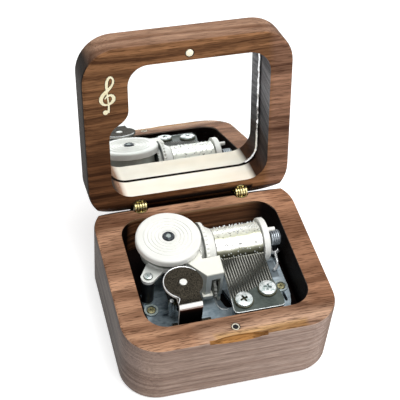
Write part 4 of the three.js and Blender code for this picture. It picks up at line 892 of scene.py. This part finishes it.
def buildScrews():
    for node, (degrees, inner) in screws.items():
        kind = screwKinds[node.split("_")[0]]
        low, high, axis, radius = roundOf(node)
        top = high.z
        head = radius * screwShape["headShare"]
        seat = top - head * kind["step"] - kind["dome"]
        work = bmesh.new()
        turned(work, screwProfile(low.z, top, radius, seat, kind), screwShape["sides"], axis)
        piece = newPiece(node + "_detail", work, bodyOf[node], [kind["finish"]], [node])
        arm, half = radius * screwShape["armShare"], radius * screwShape["halfShare"]
        deep = head * screwShape["sink"]
        cutter = crossCutter(node + "Recess", axis + Vector((0, 0, top)), arm, half, deep, degrees)
        cutAway(piece, cutter)
        piece.data.materials.append(materials[inner])
        piece.data.materials.append(materials["recess"])
        # the cross takes the inner tone, and the seat ring round the head is painted dark as shade
        for face in piece.data.polygons:
            spot = face.center / mm
            reach = math.hypot(spot.x - axis.x, spot.y - axis.y)
            isWall = top - deep - 0.02 < spot.z < top - 0.6 * kind["dome"] and abs(face.normal.z) < 0.95
            isFloor = abs(spot.z - top + deep) < 0.03
            if reach < 1.05 * arm and (isWall or isFloor):
                face.material_index = 1
            elif spot.z < seat + 0.03 and reach > 0.9 * radius * kind["lip"]:
                face.material_index = 2
        softEdges(piece, 0.03, 1)
    print("screws turned")


def cutAway(piece, cutter):
    cut = piece.modifiers.new("cut", "BOOLEAN")
    cut.object = cutter
    cut.operation = "DIFFERENCE"
    cut.solver = "EXACT"
    cut.use_self = True
    bpy.context.view_layer.update()
    made = bpy.data.meshes.new_from_object(piece.evaluated_get(bpy.context.evaluated_depsgraph_get()))
    made.name = piece.data.name + "Cut"
    piece.modifiers.remove(cut)
    piece.data = made
    bpy.data.objects.remove(cutter)


# Cylinder sleeve with its pins
sleeve = {"wall": 0.6, "sides": 96, "edge": 0.08, "firstTrack": 1.6, "trackPitch": 0.915, "tracks": 18,
          "pinsPerTrack": 10, "moreOrLess": 3, "spread": 0.7, "pinRadius": 0.26, "pinTaper": 0.7,
          "pinHeight": 0.45, "radius": 7.0, "seed": 12}


def addPin(work, spot, outward):
    radius = sleeve["pinRadius"] * mm
    pin = bmesh.ops.create_cone(work, cap_ends=True, segments=6, radius1=radius,
                                radius2=sleeve["pinTaper"] * radius, depth=2 * sleeve["pinHeight"] * mm)
    turn = outward.to_track_quat("Z", "X").to_matrix().to_4x4()
    bmesh.ops.transform(work, matrix=Matrix.Translation(spot * mm) @ turn, verts=pin["verts"])
    for face in {face for vert in pin["verts"] for face in vert.link_faces}:
        face.material_index = 1


def buildSleeve():
    low, high = boxOf("cylinder_sleeve")
    axis = centreOf("cylinder_shaft")
    radius, edge = sleeve["radius"], sleeve["edge"]
    inner = radius - sleeve["wall"]
    work = bmesh.new()
    turned(work, [(inner, low.x), (radius - edge, low.x), (radius, low.x + edge), (radius, high.x - edge),
                  (radius - edge, high.x), (inner, high.x)], sleeve["sides"], (0, axis.y, axis.z), "X")
    chance = random.Random(sleeve["seed"])
    for track in range(sleeve["tracks"]):
        x = low.x + sleeve["firstTrack"] + track * sleeve["trackPitch"]
        count = sleeve["pinsPerTrack"] + chance.randint(-sleeve["moreOrLess"], sleeve["moreOrLess"])
        for i in range(count):
            angle = 2 * math.pi * (i + sleeve["spread"] * chance.random()) / count
            outward = Vector((0, math.cos(angle), math.sin(angle)))
            addPin(work, Vector((x, axis.y, axis.z)) + outward * radius, outward)
    softEdges(newPiece("pinned_sleeve", work, "cylinder", ["nickel", "paleSteel"],
                       ["cylinder_sleeve"]))
    print("sleeve pinned")


# Great wheel: the cap with its rounded edge and raised rings, and crown teeth under the rim
capShape = {"sides": 96, "round": 0.95, "bore": 2.3, "skirt": 0.35, "plate": 1.3, "overlap": 0.1,
            "rimEdge": 0.1, "rimHeight": 0.6, "ringHeight": 0.26, "ringFlank": 0.1,
            "rings": ((3.2, 0.4), (4.7, 0.18), (6.0, 0.3), (7.3, 0.18), (8.8, 0.3)),  # radius and half width
            "teeth": 50, "toothReach": 1.5, "toothHalf": 0.38, "toothInset": 0.3,
            "bossRadius": 4.1, "bossInner": 3.3, "bossDrop": 1.8, "bossSides": 32}


def buildCap():
    low, high, axis, radius = roundOf("great_wheel")
    plateLow = high.z - capShape["plate"]
    top = high.z - capShape["ringHeight"]
    curve, flank, edge = capShape["round"], capShape["ringFlank"], capShape["rimEdge"]
    profile = [(capShape["bore"], plateLow), (capShape["bore"], top)]
    for ringRadius, half in capShape["rings"]:
        profile += [(ringRadius - half - flank, top), (ringRadius - half, high.z),
                    (ringRadius + half, high.z), (ringRadius + half + flank, top)]
    profile += quarter(radius - curve, top - curve, curve, curve, 8)[::-1]
    profile += [(radius, low.z + capShape["rimHeight"]), (radius, low.z + edge), (radius - edge, low.z),
                (radius - capShape["skirt"], low.z), (radius - capShape["skirt"], plateLow)]
    work = bmesh.new()
    turned(work, profile, capShape["sides"], axis)
    plateInside = plateLow + capShape["overlap"]
    bossLow = plateLow - capShape["bossDrop"]
    turned(work, [(capShape["bossInner"], plateInside), (capShape["bossRadius"], plateInside),
                  (capShape["bossRadius"], bossLow), (capShape["bossInner"], bossLow)],
           capShape["bossSides"], axis)
    for i in range(capShape["teeth"]):
        corners = block(work, (radius - capShape["toothReach"], -capShape["toothHalf"], low.z),
                        (radius - capShape["toothInset"], capShape["toothHalf"], plateInside))
        turn = Matrix.Rotation(2 * math.pi * (i + 0.5) / capShape["teeth"], 4, "Z")
        bmesh.ops.transform(work, matrix=Matrix.Translation(axis * mm) @ turn, verts=corners)
    softEdges(newPiece("great_wheel_detail", work, "great_wheel", ["whitePlastic"],
                       ["great_wheel"]))
    print("cap turned")


# Bearing of the cylinder's right end: a ribbed bushing on a stem, held by a bent spring clip
bushing = {"ribs": 4, "groove": 0.45, "sides": 48, "inner": 1.2, "edge": 0.3, "lastRib": 0.25,
           "stem": 27.9, "stemKnee": 21.0, "stemLean": 0.6, "stemRadius": 1.0, "stemSides": 16,
           "saddle": ((26.5, 9.6, 17.1), (27.3, 9.0, 16.7), (28.4, 8.7, 16.7), (29.5, 8.8, 17.4)),
           "saddleRadii": (0.85, 1.25, 1.3, 0.95),
           "clip": ((28.0, 8.4, 17.2), (27.9, 7.0, 16.6), (28.1, 5.4, 15.2), (27.8, 3.7, 14.8),
                    (26.8, 2.2, 14.75), (25.4, 1.3, 14.75)),
           "clipRadii": (0.7, 0.6, 0.56, 0.56, 0.6, 0.6), "clipSides": 14}


def buildBushing():
    low, high = boxOf("cylinder_bushing")
    axis = centreOf("cylinder_shaft")
    radius = high.z - axis.z
    floor = radius - bushing["groove"]
    edge = bushing["edge"]
    profile = [(bushing["inner"], low.x), (radius - edge, low.x), (radius, low.x + edge)]
    ribStart, ribEnd = low.x + edge, high.x - bushing["lastRib"]
    pitch = (ribEnd - ribStart) / bushing["ribs"]
    for i in range(bushing["ribs"]):
        start = ribStart + i * pitch
        profile += [(radius, start + 0.5 * pitch), (floor, start + 0.55 * pitch),
                    (floor, start + 0.95 * pitch), (radius, start + pitch)]
    profile += [(radius - edge, high.x), (bushing["inner"], high.x)]
    work = bmesh.new()
    turned(work, profile, bushing["sides"], (0, axis.y, axis.z), "X")
    stem = bushing["stem"]
    path = [(stem, axis.y, axis.z - floor + 0.2), (stem, axis.y, bushing["stemKnee"]),
            (stem, axis.y - bushing["stemLean"], low.z + 0.3)]
    tube(work, path, [bushing["stemRadius"]] * len(path), bushing["stemSides"])
    piece = newPiece("bushing_ribbed", work, "case", ["bushingSteel", "blackAndShade"],
                     ["cylinder_bushing"])
    # groove floors and the stem below are black, as painted shade
    for face in piece.data.polygons:
        spot = face.center / mm
        if math.hypot(spot.y - axis.y, spot.z - axis.z) < floor + 0.1 or spot.z < axis.z - radius:
            face.material_index = 1
    softEdges(piece)
    work = bmesh.new()
    tube(work, bushing["saddle"], bushing["saddleRadii"], bushing["clipSides"])
    tube(work, bushing["clip"], bushing["clipRadii"], bushing["clipSides"])
    softEdges(newPiece("bushing_clip", work, "case", ["brightSteel"]))
    print("bushing ribbed")


def arc(x, y, z, radius, turns):  # points of a level round stretch, its turns in degrees
    return [(x + radius * math.cos(math.radians(turn)), y + radius * math.sin(math.radians(turn)), z)
            for turn in turns]


# Painted highlights, as thin bright bars: along the comb's front and left edges, round the plate's oval
# opening, round the governor bracket's head, and along the housing's ear
glints = {
    "bracket_glint": {"points": [(-18.2, -21.0, 34.5), (-17.75, -20.1, 34.5), (-17.4, -19.3, 34.5),
                               (-17.5, -18.75, 34.5)] + arc(-14.4, -12.25, 34.52, 6.93, range(236, 34, -8)),
                    "radius": 0.18, "finish": "brightSteel", "slot": "dark_steel"},
    "ear_glint": {"points": arc(-24.29, -1.92, 27.5, 2.56, range(160, 316, 12)) + [(-18.3, -0.36, 27.5)],
                "radius": 0.2, "finish": "whitePlastic", "slot": "white_plastic"},
    "comb_glint": {"points": [(2.5, -17.1, 26.32), (2.08, -21.9, 26.32), (2.44, -23.02, 26.32),
                            (3.55, -23.38, 26.32), (11, -23.38, 26.32), (19.8, -23.38, 26.32),
                            (20.5, -22.8, 26.32)],
                 "radius": 0.17, "finish": "paleSteel", "slot": "comb_steel"},
    "opening_glint": {"points": [(0.9, -4.2, 14.0), (0.3, -6.0, 14.0), (0.1, -8.0, 14.0), (0.3, -9.9, 14.0),
                               (1.2, -11.5, 14.0), (2.6, -12.2, 14.0), (4.0, -12.2, 14.0)],
                    "radius": 0.22, "finish": "paleSteel", "slot": "zinc"},
}
glintSides = 8


def buildGlints():
    for name, glint in glints.items():
        work = bmesh.new()
        tube(work, glint["points"], [glint["radius"]] * len(glint["points"]), glintSides)
        softEdges(newPiece(name, work, "case", [glint["finish"]]))
    print("rims rolled")


# Dark bar on the case's rear edge, under the lid's foot, as painted shade: it keeps light from showing
# through the gap
gapShadeBar = {"low": (-22.5, 35.38, 22.3), "high": (24.5, 35.75, 22.8)}


def buildGapShade():
    work = bmesh.new()
    block(work, gapShadeBar["low"], gapShadeBar["high"])
    softEdges(newPiece("rear_gap_shade", work, "case", ["gapShade"]), 0.05, 1)
    print("strip laid")


# Winding arbor: its upper end is a dished ring round a small dome
arbor = {"sides": 40, "edge": 0.3, "ring": 1.25, "ringEdge": 0.1, "dip": 0.35,
         "domeRadius": 1.0, "dome": 0.3}


def buildArbor():
    low, high, axis, radius = roundOf("winding_arbor")
    edge, domeRadius = arbor["edge"], arbor["domeRadius"]
    dipFloor = high.z - arbor["dip"]
    profile = [(0, low.z), (radius, low.z), (radius, high.z - edge), (radius - edge, high.z),
               (arbor["ring"] + arbor["ringEdge"], high.z), (arbor["ring"], dipFloor),
               *quarter(0, dipFloor, domeRadius, arbor["dome"], 5)]
    work = bmesh.new()
    turned(work, profile, arbor["sides"], axis)
    piece = newPiece("arbor_dished", work, "winding", ["arborSteel", "softRecess"],
                     ["winding_arbor"])
    for face in piece.data.polygons:
        spot = face.center / mm
        if math.hypot(spot.x - axis.x, spot.y - axis.y) < domeRadius and spot.z > dipFloor - 0.1:
            face.material_index = 1
    softEdges(piece)
    print("arbor turned")


# Case magnet: a pale cup with the black magnet sunk in it
cup = {"core": 1.02, "dip": 0.25, "floor": 0.2, "edge": 0.12, "inner": 0.1, "sides": 32}


def buildMagnetCup():
    low, high, axis, radius = roundOf("case_magnet")
    core, edge, inner = cup["core"], cup["edge"], cup["inner"]
    work = bmesh.new()
    turned(work, [(core, low.z), (radius, low.z), (radius, high.z - edge), (radius - edge, high.z),
                  (core + inner, high.z), (core, high.z - inner)], cup["sides"], axis)
    softEdges(newPiece("magnet_cup", work, "case", ["magnetRim"], ["case_magnet"]))
    coreLow, coreTop = low.z + cup["floor"], high.z - cup["dip"]
    work = bmesh.new()
    turned(work, [(0, coreLow), (core, coreLow), (core, coreTop - inner), (core - inner, coreTop),
                  (0, coreTop)], cup["sides"], axis)
    softEdges(newPiece("magnet_core", work, "case", ["blackAndShade"]))
    print("magnet cupped")


# Bead of clear sealant that holds the mirror along its right side, uneven as it was squeezed out
bead = {"lean": 13.9, "inset": 0.35, "corner": 7.4, "radius": 0.36, "uneven": 0.1, "from": 49.5,
        "lastTurn": 68, "proud": 0.2, "straightSteps": 40, "roundSteps": 15, "thinnest": 0.7, "thicker": 0.6,
        "sides": 8, "seed": 5}


def buildBead():
    low, high = boxOf("lid_mirror")
    tilt = math.radians(bead["lean"])
    up = Vector((0, math.sin(tilt), math.cos(tilt)))
    outward = Vector((0, -math.cos(tilt), math.sin(tilt)))
    foot = Vector((0, low.y, low.z))
    chance = random.Random(bead["seed"])
    right = high.x - bead["inset"]
    corner, steps = bead["corner"], bead["straightSteps"]
    flat = [(right, bead["from"] - i * (bead["from"] - corner) / steps) for i in range(steps)]
    for i in range(bead["roundSteps"] + 1):
        turn = math.radians(bead["lastTurn"]) * i / bead["roundSteps"]
        flat.append((right - corner + corner * math.cos(turn), corner - corner * math.sin(turn)))
    points, radii = [], []
    for x, along in flat:
        wander = bead["uneven"] * (chance.random() - 0.5) * 2
        points.append(foot + Vector((x + wander, 0, 0)) + up * (along + bead["inset"])
                      + outward * bead["proud"])
        radii.append(bead["radius"] * (bead["thinnest"] + bead["thicker"] * chance.random()))
    work = bmesh.new()
    tube(work, points, radii, bead["sides"])
    softEdges(newPiece("mirror_bead", work, "lid", ["sealant"]))
    print("mirror bead laid")


# Studio: white floor and backdrop, a large soft lamp above and a weaker one in front
studio = {
    "worldLevel": 0.3,
    "floorTone": (238, 238, 238),
    "floorGlow": 0.6,
    "floorSize": 4000,
    "lamps": {
        "topLamp": {"stand": (120, -60, 620), "size": 420, "power": 3.1},
        "frontLamp": {"stand": (260, -700, 260), "size": 500, "power": 1.2},
    },
    "lampAim": (0, 0, 20),
}
view = {"stand": (-87.4, -236.0, 326.7), "aim": (2.9, 28.5, 30.0), "roll": 5.28, "fieldOfView": 21.11}


def cameraRays(tree):  # 1 where the background is seen directly, in a reflection or through glass
    path = put("LightPath", {}, tree).outputs
    return sums("MAXIMUM", path["Is Camera Ray"],
                sums("MAXIMUM", path["Is Glossy Ray"], path["Is Transmission Ray"]))


def setStudio():
    world = bpy.data.worlds.new("studio")
    scene.world = world
    world.use_nodes = True
    tree = world.node_tree
    feed(tree.nodes["Background"], {
        "Color": (1.0, 1.0, 1.0, 1.0),
        "Strength": remap(cameraRays(tree), 0.0, 1.0, studio["worldLevel"], 1.0)})
    material = bpy.data.materials.new("floor")
    material.use_nodes = True
    tree = material.node_tree
    feed(tree.nodes["Principled BSDF"], {
        "Base Color": colour(*studio["floorTone"]), "Roughness": 0.9, "Emission Color": (1.0, 1.0, 1.0, 1.0),
        "Emission Strength": times(cameraRays(tree), studio["floorGlow"])})
    half = studio["floorSize"] / 2
    work = bmesh.new()
    spots = ((-half, -half), (half, -half), (half, half), (-half, half))
    work.faces.new([work.verts.new(Vector((x, y, 0)) * mm) for x, y in spots])
    floor = bpy.data.objects.new("floor", meshOf("floor", work))
    floor.data.materials.append(material)
    scene.collection.objects.link(floor)
    for name, lamp in studio["lamps"].items():
        data = bpy.data.lights.new(name, "AREA")
        data.size = lamp["size"] * mm
        data.energy = lamp["power"]
        light = bpy.data.objects.new(name, data)
        stand = Vector(lamp["stand"])
        turn = (Vector(studio["lampAim"]) - stand).to_track_quat("-Z", "Y").to_matrix().to_4x4()
        light.matrix_world = Matrix.Translation(stand * mm) @ turn
        scene.collection.objects.link(light)
    print("studio lit")


def setCamera():
    data = bpy.data.cameras.new("photoCamera")
    data.angle = math.radians(view["fieldOfView"])
    data.clip_start = 10 * mm
    camera = bpy.data.objects.new("photoCamera", data)
    stand, aim = Vector(view["stand"]) * mm, Vector(view["aim"]) * mm
    turn = (aim - stand).to_track_quat("-Z", "Y").to_matrix().to_4x4()
    camera.matrix_world = (Matrix.Translation(stand) @ turn
                           @ Matrix.Rotation(math.radians(view["roll"]), 4, "Z"))
    scene.collection.objects.link(camera)
    scene.camera = camera
    print("camera set")


setStudio()
setCamera()
dressSolids()
buildScrews()
buildSleeve()
buildCap()
buildBushing()
buildGlints()
buildGapShade()
buildArbor()
buildMagnetCup()
buildBead()
